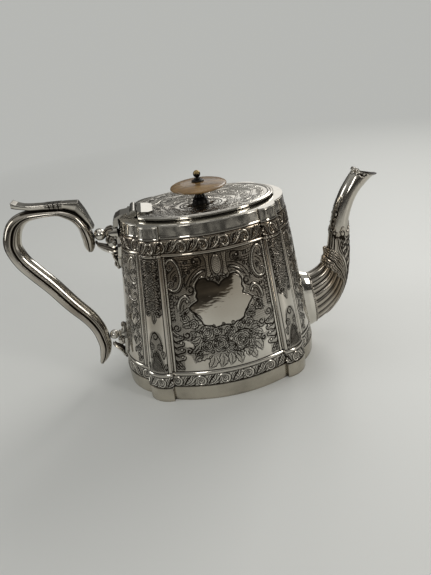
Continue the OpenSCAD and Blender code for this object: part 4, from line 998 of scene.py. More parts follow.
def relief(cut, high, ground, rise, top, depth, sink):
    return rise * np.minimum(high, top) - depth * np.minimum(cut, 1) - sink * ground


def grid_piece(name, points, red, green, body, slot, closed=True, hole=None, keep=None):
    """A surface through a grid of points in millimetres. Its vertex colour is how dark and how brown."""
    rows, cols = points.shape[:2]
    mesh = bpy.data.meshes.new(name)
    mesh.vertices.add(rows * cols)
    mesh.vertices.foreach_set("co", (points * MM).astype(np.float32).ravel())
    j, i = np.meshgrid(np.arange(rows - 1), np.arange(cols if closed else cols - 1), indexing="ij")
    k = (i + 1) % cols
    quads = np.stack([j * cols + i, j * cols + k, (j + 1) * cols + k, (j + 1) * cols + i], -1).reshape(-1, 4)
    if hole is not None:
        middle = points.reshape(-1, 3)[quads].mean(1)
        quads = quads[np.linalg.norm(middle[:, :2] - hole[:2], axis=1) > hole[2]]
    if keep is not None:
        quads = quads[keep.ravel()[quads].any(1)]
    mesh.loops.add(quads.size)
    mesh.loops.foreach_set("vertex_index", quads.ravel().astype(np.int32))
    mesh.polygons.add(len(quads))
    mesh.polygons.foreach_set("loop_start", np.arange(0, quads.size, 4, dtype=np.int32))
    mesh.update(calc_edges=True)
    mesh.validate()
    rgba = np.zeros((rows * cols, 4), np.float32)
    rgba[:, 0], rgba[:, 1], rgba[:, 3] = red.ravel(), green.ravel(), 1
    # the vertex colour holds tarnish together with painted shade and painted highlights
    mesh.color_attributes.new("tarnish_and_painted_light", "FLOAT_COLOR", "POINT").data.foreach_set("color", rgba.ravel())
    mesh.shade_smooth()
    mesh.materials.append(BY_PIECE[slot])
    o = bpy.data.objects.new(name, mesh)
    bpy.context.collection.objects.link(o)
    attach(o, body)
    return o


def heights():
    """Heights of the skin's rows, with a folded row at the bottom and the top."""
    low, high = FOOT_TOP + 0.04, WALL_TOP - 0.02
    return np.r_[low, np.linspace(low, high, int((high - low) / SKIN_STEP)), high]


def blend(a, b, t):
    return a + (b - a) * t


def smooth(t):
    c = np.clip(t, 0, 1)
    return c * c * (3 - 2 * c)


def patina(x, z, seed):
    """Slow changes in how tarnished the plate is, between 0 and 1."""
    a = np.sin(x * 0.071 + seed) * np.cos(z * 0.093 + seed * 1.7)
    b = np.sin(x * 0.031 - z * 0.047 + seed * 2.3)
    c = np.sin(x * 0.19 + z * 0.12 + seed) * np.sin(z * 0.21 - x * 0.08)
    return np.clip(0.5 + 0.25 * a + 0.2 * b + 0.1 * c, 0, 1)


def streaked(u, v):
    """The old stain on the cartouche: dark over a slanting line, with level streaks."""
    ragged = 3.4 * np.sin(v * 2.3 + 1.7 * np.sin(u * 0.45)) * np.sin(u * 0.21 + v * 0.9)
    ragged = ragged + 1.7 * np.sin(v * 5.1 + u * 0.6) + 1.2 * np.sin(v * 9.7 - u * 0.33) * np.sin(u * 0.9 + v)
    return smooth((v - np.interp(u, *STAIN_EDGE) + ragged) / 4.5)


def skin(name, plate, columns, flip, stain=0.0):
    """A chased skin over part of the wall. flip turns the +X +Y quarter to where it belongs."""
    p, n1, n2, u = columns
    z = heights()
    U, Z = np.meshgrid(u, z)
    cut, high, ground = plate.layers(U, Z)
    aged = stain * streaked(U, Z) * plate.sample(plate.field, U, Z)
    cloudy = 0.37 + 0.3 * patina(U * 0.5, Z * 4, 2.0) + 0.12 * patina(U * 1.7, Z * 9, 1.2)
    out = SKIN_OUT - BAND_THINNER * np.clip((Z - BAND_THIN_FROM) / 1.2, 0, 1)
    out = np.maximum(out + relief(cut, high, ground, *WALL_RELIEF), SKIN_LEAST)
    out[0], out[-1] = SKIN_EDGE, SKIN_EDGE
    points = wall_surface(p, n1, n2, z, out)
    points[..., :2] *= flip
    if flip[0] * flip[1] < 0:
        points, cut, high, ground, aged = (a[:, ::-1] for a in (points, cut, high, ground, aged))
    x, z = points[..., 0], points[..., 2]
    old = patina(x, z, 1.0 + flip[1])
    band, rise = np.clip(z - BAND_FROM, 0, 1), np.clip((z - 55) / 60, 0, 1)
    mottle = 1 + 0.35 * np.sin(x * 3.9 + z * 2.2) * np.sin(z * 3.4 - x * 1.7)
    red = CUT_DARK * np.minimum(cut, 1) + (GROUND_DARK + 0.06 * rise) * ground * mottle
    # raised work is painted brighter, as a painted highlight
    red = red + AGE_DARK * old * (1 - band) + cloudy * aged - RAISED_PAINTED_HIGHLIGHT * np.minimum(high, 1.5)
    red = np.clip(red, 0, 1)
    green = np.clip(old * 0.6 + 0.7 * rise + 0.4 * aged - 0.1, 0, 1)
    # raised work is also painted less brown, as part of its painted highlight
    green = green * (1 - 0.75 * band) * (1 - 0.4 * np.minimum(high, 1))
    grid_piece(name, points, red, green, "pot", "engraved_silver", closed=False)


def body_skins():
    front, end, corner = front_plate(), end_plate(), corner_plate()
    fp, fn, fu = front_columns()
    ep, en, eu = end_columns()
    cp, cn, cu = corner_columns()
    front_cols = (*join([fp], [fn], cn[2][-1], cn[2][-1] * (-1, 1)), fu)
    end_cols = (*join([ep], [en], cn[0][0] * (1, -1), cn[0][0]), eu)
    corner_cols = (*join(cp, cn, en[-1], fn[0]), cu)
    skin("skin_front", front, front_cols, (1, -1), 1.0)
    skin("skin_back", front, front_cols, (1, 1))
    skin("skin_spout_end", end, end_cols, (1, 1))
    skin("skin_handle_end", end, end_cols, (-1, 1))
    for side, sx in (("spout", 1), ("handle", -1)):
        for face, sy in (("front", -1), ("back", 1)):
            skin(f"skin_pilaster_{face}_{side}", corner, corner_cols, (sx, sy))


# ---------------------------------------------------------------- the lid

LID_A, LID_B, LID_TOP = high_corner("lid_plate")
LID_STOP = -low_corner("lid_plate")[0]
LID_DISH = 3.5
DISH_SHARE, SEAT_SHARE = 0.88, 0.2
LID_RINGS = np.array([SEAT_SHARE, 0.35, 0.5, 0.65, 0.78, DISH_SHARE])
LID_OUT, LID_ROWS, LID_COLS = 0.3, 112, 720
# The rolled edge of the lid's skin: share of the half axes, how far up and how far out
LID_EDGE = ((0.996, 0.25, 0.04), (1.0, 0.14, 0.16), (1.0, -0.2, 0.26), (1.0, -0.85, 0.26))
# The vent: x, y and the half width of the hole in the skin
VENT = (8.5, 0.0, 0.95)


def dish(share):
    """How far the lid lies below its edge, straight between the CAD's rings."""
    deep = LID_DISH * np.maximum(0, 1 - ((LID_RINGS - SEAT_SHARE) / (DISH_SHARE - SEAT_SHARE)) ** 2) ** 1.3
    return np.interp(share, LID_RINGS, deep)


def lid_skin():
    rows = [(share, LID_OUT, 0) for share in np.linspace(0.1, 0.985, LID_ROWS)]
    share, lift, side = np.array(rows + list(LID_EDGE)).T
    soft = np.array([dish(np.clip(share + k, 0, 1)) for k in np.linspace(-0.05, 0.05, 9)]).mean(0)
    S, A = np.meshgrid(share, np.linspace(0, 2 * np.pi, LID_COLS, endpoint=False), indexing="ij")
    x = (LID_A * S + side[:, None]) * np.cos(A)
    y = (LID_B * S + side[:, None]) * np.sin(A)
    x = np.maximum(x, -LID_STOP * (0.5 + 0.5 * S) + 0.05)
    cut, high, ground = lid_plate_art().layers(x, y)
    inner = np.clip((0.99 - S) * 60, 0, 1)
    z = LID_TOP + (lift - np.minimum(soft, dish(share) + 0.1))[:, None]
    z = z + inner * relief(cut, high, ground, *LID_RELIEF)
    old = patina(x * 1.4, y * 1.8, 4.0)
    # painted shade: the lid is darker toward the handle
    shade_toward_handle = 0.5 - 0.5 * np.clip(x / 34, -1, 1)
    red = (0.72 + 0.28 * shade_toward_handle) * np.minimum(cut, 1) + (0.02 + 0.34 * shade_toward_handle) * ground
    # raised work is painted brighter, as a painted highlight
    red = inner * (red - 0.45 * np.minimum(high, 1.4)) + AGE_DARK * old * shade_toward_handle
    red = np.clip(red, 0, 1)
    green = np.clip(0.5 * old - 0.1, 0, 1)
    grid_piece("skin_lid", np.dstack([x, y, z]), red, green, "lid", "engraved_silver", hole=VENT)


# ---------------------------------------------------------------- the spout

# The spout's route as the CAD has it, in millimetres
SPOUT_LOW, SPOUT_HIGH = 12.7, 61.0
SPOUT_HALF, NECK_HALF = 9.0, 6.0
LIP_Z = RIM_TOP + 1.2
SPOUT_WALL = 1.3
SPOUT_TIP = 128.78
SPOUT_ROWS, INSIDE_ROWS = 300, 34
FLUTES, FLUTE_DEPTH = 16, 1.5
FLUTES_FROM, FLUTES_TO = 0.084, 0.36
SPOUT_COLS = FLUTES * 18
BEADS, BEAD_HEIGHT, BROW_HEIGHT, LIP_ROLL = 56, 0.75, 1.7, 0.25
# How far the lip drops at each angle from the inside of the bend
LIP_DROPS = ((0, 30, 52, 90, 130, 170), (0, 0.1, 2.0, 1.9, 1.1, 0))
# The size of the drawing of the spout's side
SPOUT_LENGTH, SPOUT_GIRTH = 120.0, 28.0


def wall_x(y, z):
    """How far the outside of an end panel stands from the middle."""
    ka, kb = share_at(z)
    r = radius(END_HALF, END_BOW)
    return ka * (FOOT_A - r + np.sqrt(r * r - (y / kb) ** 2))


def spout_stations():
    """Inner x and z, outer x and z, and half width, from the wall to the lip."""
    foot = float(wall_x(0, SPOUT_LOW))
    neck = foot + 33
    low, high, lip = SPOUT_LOW, SPOUT_HIGH, LIP_Z
    return np.array([
        [float(wall_x(0, high)), high, foot, low, SPOUT_HALF],
        [foot - 0.5, high - 1, foot + 6.5, low + 1.5, SPOUT_HALF],
        [foot + 5, high + 0.5, foot + 16, low + 7.5, SPOUT_HALF],
        [foot + 10.5, high + 4, foot + 25, low + 17, SPOUT_HALF - 0.3],
        [neck - 18.5, high + 9.5, neck - 2, low + 29, blend(SPOUT_HALF, NECK_HALF, 0.45)],
        [neck - 16.5, high + 15.5, neck + 0.8, low + 42, blend(SPOUT_HALF, NECK_HALF, 0.8)],
        [neck - 15.6, high + 22, neck + 1.4, blend(low, lip, 0.49), NECK_HALF],
        [neck - 14.8, blend(high, lip, 0.41), neck + 0.6, blend(high, lip, 0.35), NECK_HALF],
        [neck - 13.2, lip - 32, neck + 0.2, lip - 33, NECK_HALF],
        [neck - 10.8, lip - 21, neck + 2.4, lip - 22.5, NECK_HALF],
        [neck - 6.5, lip - 10.2, neck + 6.4, lip - 13.4, NECK_HALF],
        [neck - 1.6, lip - 2, neck + 11.5, lip - 7.6, NECK_HALF],
        [neck + 1.6, lip + 2.4, neck + 16, lip - 3.6, NECK_HALF - 0.3],
        [neck + 4.4, lip + 5.2, neck + 20.5, lip - 1, NECK_HALF - 0.8]])


def along(stations, t):
    """A smooth curve through the stations, as in the CAD."""
    last = len(stations) - 1
    q = extended(stations)
    at = np.clip(t, 0, 1) * last
    i = np.minimum(at.astype(int), last - 1)
    return spline(q[i], q[i + 1], q[i + 2], q[i + 3], (at - i)[..., None])


def spout_place(t, angle, out):
    """Points of the spout: angle 0 is the inside of the bend, a half turn is the outside."""
    s = along(spout_stations(), t)
    mid = (s[..., 0:2] + s[..., 2:4]) / 2
    axis = (s[..., 0:2] - s[..., 2:4]) / 2
    half = np.linalg.norm(axis, axis=-1)
    u = (half + out) * np.cos(angle)
    v = (s[..., 4] + out) * np.sin(angle)
    return np.stack([mid[..., 0] + axis[..., 0] / half * u, v, mid[..., 1] + axis[..., 1] / half * u], -1)


def even_angles(n, stretch):
    """Angles that are evenly spaced round a long oval."""
    a = np.linspace(0, 2 * np.pi, 1441)
    step = np.hypot(stretch * np.sin(a), np.cos(a))
    run = np.r_[0, np.cumsum((step[1:] + step[:-1]) / 2)]
    return np.interp(np.arange(n) / n, run / run[-1], a)


def spot(t, degrees):
    """A place on the drawing of the spout's side: along it, and round it from the inside of the bend."""
    return SPOUT_LENGTH * t, SPOUT_GIRTH * degrees / 180


def spots(*values):
    return [spot(t, d) for t, d in pairs(values)]


def from_bend(angle):
    """Degrees round the spout from the inside of the bend, the same on both sides."""
    return np.degrees(np.abs((angle + np.pi) % (2 * np.pi) - np.pi))


# Places are a share of the spout's length, and degrees. Drops: place, size. Leaves: stalk, tip, width
DROPS = ((0.565, 22, 1.3), (0.605, 29, 1.6), (0.655, 35, 1.9))
NECK_LEAVES = ((0.675, 36, 0.745, 41, 2.6), (0.54, 14, 0.60, 18, 2), (0.58, 36, 0.63, 42, 1.8),
               (0.63, 24, 0.68, 27, 1.6), (0.545, 30, 0.575, 44, 1.8))
# Lines: width, depth, places
NECK_LINES = ((0.6, 1.2, 0.53, 20, 0.58, 34, 0.63, 42, 0.70, 44, 0.755, 42),
              (0.55, 1.1, 0.53, 6, 0.60, 14, 0.67, 24, 0.74, 34),
              (0.8, 0.8, 0.425, 16, 0.48, 17, 0.545, 13), (0.8, 0.8, 0.425, 34, 0.48, 35, 0.545, 31),
              (0.8, 0.8, 0.425, 50, 0.48, 51, 0.545, 47),
              (0.75, 1.2, 0.90, 40, 0.93, 62, 0.965, 70, 0.985, 92, 0.975, 120),
              (0.6, 0.9, 0.90, 0, 0.905, 22, 0.93, 44))
VOLUTE = (0.935, 84)


def side_plate():
    return Plate(0, SPOUT_LENGTH, 0, SPOUT_GIRTH)


def spout_art():
    """The chasing of the spout's side: a line of drops up the neck, and a volute at the lip."""
    p = side_plate()
    for t, d, r in DROPS:
        x, y = spot(t, d)
        p.boss(x, y, r * 0.6, 2.2)
        p.line(ring(x, y, r), 0.5, 1.1, taper=False)
    for t, d, t1, d1, w in NECK_LEAVES:
        p.leaf(*spot(t, d), *spot(t1, d1), w, 2, 2.2)
    for w, depth, *places in NECK_LINES:
        p.line(spots(*places), w, depth)
    x, y = spot(*VOLUTE)
    p.boss(x, y, 1.0, 3)
    p.line(curl(x, y, 2.6, 150, 420, 0.5), 0.95, 1.3)
    return p


def dipped(t, angle, out):
    """The spout's points, where the lip's sides drop between its brow and its beak."""
    points = spout_place(t, angle, out)
    points[..., 2] -= np.interp(from_bend(angle), *LIP_DROPS) * smooth((t - 0.935) * 16)
    return points


def seated(row):
    """An end ring of the spout, moved onto the wall."""
    z = np.maximum(row[:, 2], FOOT_TOP + 0.1)
    return np.stack([wall_x(row[:, 1], z) + 0.1, row[:, 1], z], -1)


def spout_piece():
    angles = even_angles(SPOUT_COLS, 2.2)
    T, A = np.meshgrid(np.linspace(0, 1, SPOUT_ROWS), angles, indexing="ij")
    S = np.broadcast_to(np.arange(SPOUT_COLS) / SPOUT_COLS, T.shape)
    cut, high, _ = spout_art().layers(*spot(T, from_bend(A)))
    fluted = smooth((T - FLUTES_FROM) * 60) * (1 - smooth((T - FLUTES_TO) * 16))
    lobe = np.abs(np.sin(np.pi * FLUTES * S))
    valley = 1 - lobe ** 0.55
    rib = np.exp(-((lobe - 0.62) / 0.1) ** 2)
    from_beads = T - FLUTES_FROM + 0.004
    bead = np.clip(1 - (from_beads * 110) ** 2, 0, 1) * (0.5 + 0.5 * np.cos(2 * np.pi * BEADS * S))
    brow = smooth((T - 0.925) * 22) * smooth((np.cos(A) - 0.62) * 5)
    out = -FLUTE_DEPTH * fluted * valley - 0.12 * fluted * rib + BEAD_HEIGHT * bead
    out = out + LIP_ROLL * smooth((T - 0.975) * 40) + BROW_HEIGHT * brow
    out = out + 0.22 * high - 0.3 * np.minimum(cut, 1)
    outside = dipped(T, A, out)
    outside[..., 0] = np.minimum(outside[..., 0], SPOUT_TIP)
    outside[0] = seated(outside[0])
    T2, A2 = np.meshgrid(np.linspace(1, 0, INSIDE_ROWS), angles, indexing="ij")
    thick = SPOUT_WALL + FLUTE_DEPTH * (smooth((T2 - 0.06) * 30) * (1 - smooth((T2 - FLUTES_TO) * 16)))
    inside = dipped(T2, A2, -thick)
    inside[0] += (outside[-1] - inside[0]) * 0.25
    inside[-1] = seated(inside[-1])
    old = patina(T * 150, np.degrees(A) * 0.5, 2.0)
    red = 0.95 * fluted * np.clip(1.25 * valley - 0.12, 0, 1) + 0.35 * fluted * rib + np.minimum(cut, 1)
    red = red + 0.9 * np.clip(1 - np.abs(from_beads) * 90, 0, 1) * (1 - bead) + 0.15 * old
    # raised work is painted brighter, as a painted highlight
    red = red * (1 - 0.6 * np.minimum(high, 1)) + 0.5 * smooth((T - 0.985) * 80) * (1 - brow)
    green = np.clip(0.35 * old + 0.65 * fluted * smooth((T - 0.17) * 9) + 0.3 * smooth((0.6 - T) * 6), 0, 1)
    red = np.vstack([np.clip(red, 0, 1), np.full(T2.shape, 0.97)])
    green = np.vstack([green, np.full(T2.shape, 0.5)])
    o = grid_piece("spout_chased", np.vstack([outside, inside]), red, green, "pot", "plain_silver")
    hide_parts("spout")


def blur(a, n):
    """A soft edge: the mean over a square of 2n + 1 cells."""
    for axis in (0, 1):
        pad = [(0, 0), (0, 0)]
        pad[axis] = (n + 1, n)
        c = np.cumsum(np.pad(a, pad, mode="edge"), axis=axis)
        width, size = 2 * n + 1, c.shape[axis]
        a = (np.take(c, range(width, size), axis) - np.take(c, range(size - width), axis)) / width
    return a


LEAF_COLS, LEAF_ROWS = 300, 190
LEAF_FROM, LEAF_TO = 0.15, 0.615
# The edges of the leaf that wraps the bend, and the outline of the one that climbs it
WRAP_LOW = (0.262, 0, 0.258, 20, 0.268, 38, 0.292, 50, 0.290, 62, 0.312, 78, 0.308, 92, 0.318, 106, 0.31, 122)
WRAP_HIGH = (0.405, 0, 0.412, 22, 0.43, 45, 0.434, 68, 0.424, 88, 0.405, 104, 0.378, 117, 0.35, 122,
             0.325, 124)
CLIMB = (0.548, 28, 0.575, 36, 0.583, 48, 0.562, 60, 0.568, 76, 0.592, 86, 0.594, 102, 0.57, 114, 0.574, 130,
         0.59, 142, 0.592, 158, 0.572, 168, 0.6, 180, 0.16, 180, 0.175, 160, 0.22, 138, 0.27, 133, 0.31, 130,
         0.35, 127, 0.378, 121, 0.407, 108, 0.428, 90, 0.44, 74, 0.475, 66, 0.51, 60, 0.535, 44, 0.548, 28)
# The wrapping leaf's raised part at each angle: where it starts, and how long it is
WRAP_START = ((0, 38, 92, 122), (0.262, 0.268, 0.308, 0.31))
WRAP_REACH = ((0, 30, 80, 125), (0.132, 0.155, 0.115, 0.03))
# Lines on the wrapping leaf: share of the way between its edges, width, depth
WRAP_LINES = ((0.44, 0.75, 1.0), (0.14, 0.4, 0.7), (0.28, 0.45, 0.8), (0.6, 0.4, 0.8), (0.74, 0.45, 0.9),
              (0.88, 0.4, 0.7))
CLIMB_RINGS = ((0.553, 47, 1.5), (0.558, 92, 1.7), (0.558, 150, 1.8))
CLIMB_LINES = ((0.53, 78, 0.48, 84, 0.44, 104, 0.41, 122, 0.36, 136, 0.28, 150, 0.19, 166),
               (0.54, 66, 0.50, 72, 0.46, 80, 0.435, 98), (0.38, 128, 0.33, 136, 0.27, 142, 0.22, 146),
               (0.54, 40, 0.53, 60, 0.535, 76), (0.545, 108, 0.54, 120, 0.55, 134))


def wrap_art():
    """The leaf that wraps the inside of the bend: lines along it and strokes to its edges."""
    p = side_plate()

    def even(places):
        c = curve(spots(*places))
        k, f = np.linspace(0, 1, 60), np.linspace(0, 1, len(c))
        return np.c_[np.interp(k, f, c[:, 0]), np.interp(k, f, c[:, 1])]

    low, high = even(WRAP_LOW), even(WRAP_HIGH)
    p.mask(np.vstack([low, high[::-1]]) + (0, -0.01), high=2.0)
    for share, w, depth in WRAP_LINES:
        line = blend(low, high, share)
        p.line(line[3:int(58 - 14 * abs(share - 0.44))], w, depth)
    for i in range(6, 54, 6):
        for stalk, tip, shift in ((0.26, 0.03, 5), (0.72, 0.97, 4)):
            j = min(i + shift, 59)
            p.line([blend(low[i], high[i], stalk), blend(low[j], high[j], tip)], 0.3, 0.7)
    return p


def climb_art():
    """The leaf that climbs the outside of the bend: rings at its top, rows of small leaves along its spine."""
    p = side_plate()
    p.mask(curve(spots(*CLIMB)), high=2.0)
    for t, d, r in CLIMB_RINGS:
        x, y = spot(t, d)
        p.line(ring(x, y, r), 0.45, 1.1, taper=False)
        for lean in (-12, 0, 12):
            p.leaf(x - 1.5, y + lean * 0.1, *spot(t - 0.035, d + lean), 1.5, 1, 0.3)
    for places in CLIMB_LINES:
        p.line(spots(*places), 0.55, 1.1)
    spine = pairs(CLIMB_LINES[0])[::-1].T
    for t in np.arange(0.22, 0.53, 0.026):
        d = np.interp(t, *spine)
        for start in range(5, int(172 - d), 25):
            p.leaf(*spot(t - 0.01, d + start), *spot(t + 0.028, min(d + start + 25, 180)), 1.9, 2, 0.35)
    return p


def leaf_piece():
    T, A = np.meshgrid(np.linspace(LEAF_FROM, LEAF_TO, LEAF_ROWS), even_angles(LEAF_COLS, 1.5), indexing="ij")
    d = from_bend(A)
    u, v = spot(T, d)
    wrap, climb = wrap_art(), climb_art()
    over, under = (smooth(p.sample(blur(np.minimum(p.high, 1), 2), u, v) * 1.6 - 0.3) for p in (wrap, climb))
    edge = 4 * over * (1 - over) + 4 * under * (1 - under)
    under = under * (1 - over)
    cut_over, cut_under = wrap.sample(wrap.cut, u, v) * over, climb.sample(climb.cut, u, v) * under
    share = np.clip((T - np.interp(d, *WRAP_START)) / np.interp(d, *WRAP_REACH), 0, 1)
    arch = 0.9 + 0.9 * np.sin(np.pi * share) ** 0.8
    turned = 3.4 * smooth((16 - d) / 16) * np.exp(-((share - 0.82) / 0.3) ** 2)
    fold = 0.8 * np.exp(-((share - 0.2) / 0.16) ** 2) * smooth((70 - d) / 40)
    out = -0.35 + over * (0.35 + arch + turned + fold) + under * 1.15
    out = out - 0.5 * np.minimum(cut_over, 1) - 0.35 * np.minimum(cut_under, 1)
    old = patina(T * 160, d, 3.0)
    red = np.clip(0.95 * (cut_over + cut_under) + 0.4 * edge + 0.15 * old, 0, 1)
    green = np.clip(0.3 + 0.4 * old + 0.2 * over, 0, 1)
    points = spout_place(T, A, out)
    o = grid_piece("spout_acanthus", points, red, green, "pot", "cast_silver", keep=out > -0.3)
    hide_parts("spout_leaf")


# ---------------------------------------------------------------- the handle

# The handle's route as the CAD has it, in millimetres
BEAD_Z, LOW_BEAD_Z = 119.8, 38.0
HANDLE_T, HANDLE_WIDTH, HANDLE_RISE, TAIL_DROP = 12.6, 11.0, 21.0, 23.0
SOCKET, LOW_SOCKET, BEAD_R, LOW_BEAD_R = 13.4, 9.6, 8.4, 7.4
BOSS = float(wall_x(0, BEAD_Z)) + SOCKET + BEAD_R * 0.45 + 0.15
LOW_BOSS = float(wall_x(0, LOW_BEAD_Z)) + LOW_SOCKET + LOW_BEAD_R * 0.45 + 0.15
BACK_X = float(wall_x(0, BEAD_Z)) + SOCKET + 58
HANDLE_BACK = -136.22
HANDLE_STEPS = 300
# Half of the moulded section, outside first: share of the half thickness, of the half width, dark, brown
MOULDING = ((1, 0, 0, 0.1), (0.99, 0.2, 0, 0.1), (0.95, 0.38, 0, 0.1), (0.89, 0.5, 0.1, 0.2),
            (0.85, 0.53, 0.95, 0.6), (0.80, 0.55, 0.95, 0.6), (0.76, 0.64, 0.2, 0.5), (0.62, 0.8, 0.06, 0.5),
            (0.42, 0.93, 0.04, 0.45), (0.22, 1, 0.04, 0.4), (0.08, 0.99, 0.1, 0.4), (0.03, 0.93, 0.75, 0.8),
            (-0.02, 0.8, 1, 0.8), (-0.07, 0.76, 1, 0.8), (-0.13, 0.8, 0.9, 0.8), (-0.18, 0.88, 0.25, 0.7),
            (-0.27, 0.92, 0.1, 0.6), (-0.35, 0.9, 0.2, 0.6), (-0.39, 0.85, 0.8, 0.7), (-0.43, 0.85, 0.5, 0.6),
            (-0.5, 0.84, 0.08, 0.4), (-0.66, 0.7, 0.05, 0.2), (-0.82, 0.5, 0.02, 0.1), (-0.94, 0.26, 0, 0),
            (-1, 0, 0, 0))
# Sections of the grip plate, from its flared back end to the upper bead: top x and z, bottom x and z
GRIP = np.array([(-121.67, 151.56, -122.2, 147.96), (-118.6, 149.7, -119.6, 147),
                 (-115.2, 148.4, -116.6, 146.1), (-110.6, 147.6, -111.6, 144.5),
                 (-105.45, 147.1, -105.45, 144), (-97, 146.5, -96.5, 143.1), (-88.15, 145.9, -89.8, 141.9),
                 (-80.85, 145.1, -84.5, 139), (-78, 138.45, -80.6, 133.9), (-75.87, 130.7, -77.7, 129.4),
                 (-74.86, 125.8, -76.7, 125.8)])
# Half of its section, as above
GRIP_SECTION = ((-1, 0, 0.3, 0.3), (-1, 0.75, 0.6, 0.4), (-0.86, 0.9, 0.8, 0.5), (-0.6, 0.9, 0.3, 0.3),
                (-0.35, 0.92, 0.05, 0.1), (0.3, 0.96, 0, 0.1), (0.5, 0.95, 0.1, 0.1), (0.58, 0.9, 0.85, 0.3),
                (0.68, 0.9, 0.85, 0.3), (0.76, 0.97, 0.1, 0.1), (0.95, 0.97, 0, 0), (1, 0.9, 0, 0),
                (1, 0.45, 0.05, 0.2), (1, 0, 0.05, 0.3))
GRIP_HALF, GRIP_STEPS = 4.0, 260
# The carved block on the grip plate, from x to x
BLOCK_FROM, BLOCK_TO = -102.0, -91.0
# Rings that close the end of a swept piece
CAP_ROWS = 3


def handle_stations():
    """Distance behind the middle, height and thickness, from the upper end to the tail."""
    t, rise, up, low = HANDLE_T, HANDLE_RISE, BEAD_Z, LOW_BEAD_Z
    span, drop, lean = BACK_X - BOSS, BEAD_Z - LOW_BEAD_Z, BACK_X - LOW_BOSS
    return np.array([
        [BOSS + 0.4 * t, up - 0.83 * t, t * 0.3], [BOSS + 0.38 * t, up - 0.56 * t, t * 0.58],
        [BOSS + 0.35 * t, up - 0.08 * t, t * 0.66], [BOSS + 0.45 * t, up + 0.38 * rise, t * 0.6],
        [BOSS + 0.75 * t, up + 0.7 * rise, t * 0.58], [BOSS + 0.29 * span, up + 0.9 * rise, t * 0.5],
        [BOSS + 0.38 * span, up + 0.97 * rise, t * 0.4], [BOSS + 0.58 * span, up + rise, t * 0.46],
        [BOSS + 0.75 * span, up + 0.97 * rise, t * 0.6], [BOSS + 0.88 * span, up + 0.78 * rise, t * 0.8],
        [BOSS + 0.96 * span, up + 0.46 * rise, t * 0.9], [BACK_X, up + 0.05 * rise, t * 0.94],
        [BACK_X - 0.06 * lean, up - 0.12 * drop, t * 0.97], [BACK_X - 0.19 * lean, up - 0.245 * drop, t],
        [BACK_X - 0.37 * lean, up - 0.4 * drop, t], [BACK_X - 0.57 * lean, up - 0.6 * drop, t],
        [LOW_BOSS + 0.87 * t, low + 1.51 * t, t * 0.95], [LOW_BOSS + 0.54 * t, low + 0.71 * t, t * 0.88],
        [LOW_BOSS + 0.43 * t, low, t * 0.82], [LOW_BOSS + 0.43 * t, low - 0.365 * TAIL_DROP, t * 0.76],
        [LOW_BOSS + 0.635 * t, low - 0.74 * TAIL_DROP, t * 0.6],
        [LOW_BOSS + 0.92 * t, low - TAIL_DROP, t * 0.26]])


def round_section(half, per):
    """The columns of a closed section, from its half, with more points between the given ones."""
    h = np.array(half, float)
    h = along(h, np.linspace(0, len(h) - 1, (len(h) - 1) * per + 1) / (len(h) - 1))
    return np.vstack([h, h[-2:0:-1] * (1, -1, 1, 1)]).T


def swept(mid, up, rise, wide):
    """Rings along a path in the X-Z plane: rise goes along up, wide along Y. Both ends are closed."""
    rings = np.stack([mid[:, :1] + up[:, :1] * rise, wide, mid[:, 1:] + up[:, 1:] * rise], -1)

    def cap(points):
        middle = points.mean(0)
        return [middle + (points - middle) * k for k in np.linspace(1, 0, CAP_ROWS + 1)[1:]]

    return np.stack(cap(rings[0])[::-1] + list(rings) + cap(rings[-1]))


def handle_piece():
    thick, half, dark, brown = round_section(MOULDING, 3)
    t = np.linspace(0, 1, HANDLE_STEPS)
    s = along(handle_stations(), t)
    ahead, behind = (along(handle_stations(), np.clip(t + k, 0, 1)) for k in (0.004, -0.004))
    wide = HANDLE_WIDTH / 2 * (0.62 + 0.38 * smooth(t * 7) * smooth((1 - t) * 6))
    points = swept(s[:, :2] * (-1, 1), across((ahead - behind)[:, :2]) * (-1, 1), thick * s[:, 2:3] / 2,
                   -half * wide[:, None])
    points[..., 0] = np.maximum(points[..., 0], HANDLE_BACK)
    old = patina(points[..., 0] * 1.7, points[..., 2] * 1.3, 5.0)
    red = np.clip(dark * (0.75 + 0.25 * old) + 0.16 * old, 0, 1)
    green = np.clip(brown * (0.5 + 0.5 * old) + 0.2 * old, 0, 1)
    o = grid_piece("handle_moulded", points, red, green, "pot", "plain_silver")
    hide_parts("handle")


def grip_piece():
    thick, half, dark, brown = round_section(GRIP_SECTION, 4)
    run = np.r_[0, np.cumsum(np.linalg.norm(np.diff(GRIP[:, :2], axis=0), axis=1))]
    at = np.linspace(0, run[-1], GRIP_STEPS)
    s = np.stack([np.interp(at, run, GRIP[:, k]) for k in range(4)], -1)
    mid, up = (s[:, :2] + s[:, 2:]) / 2, (s[:, :2] - s[:, 2:]) / 2
    x = mid[:, :1] + up[:, :1] * thick
    carved = smooth((x - BLOCK_FROM) * 2) * smooth((BLOCK_TO - x) * 2)
    petals = np.abs(np.sin((x - BLOCK_FROM) * 1.1) * np.cos(half * 5 + thick * 2))
    lines = np.clip(1 - petals * 3, 0, 1) * carved
    grow = 1 + 0.1 * carved - 0.06 * lines
    flare = 1 + 0.14 * smooth((10 - at[:, None]) / 10)
    points = swept(mid, up, thick * grow, -half * GRIP_HALF * flare * (0.94 + 0.06 * grow))
    lines, carved = (np.pad(a, ((CAP_ROWS, CAP_ROWS), (0, 0)), mode="edge") for a in (lines, carved))
    old = patina(points[..., 0] * 2.1, points[..., 1] * 3, 6.0)
    red = np.clip(dark * (1 - 0.5 * carved) + 0.95 * lines + 0.25 * carved + 0.1 * old, 0, 1)
    green = np.clip(brown + 0.3 * old - 0.1, 0, 1)
    o = grid_piece("grip_chased", points, red, green, "pot", "plain_silver")
    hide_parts("grip_plate")


# ---------------------------------------------------------------- the cast scrolls of the handle's sockets

ROPE_SIDES, LOBES = 24, 3
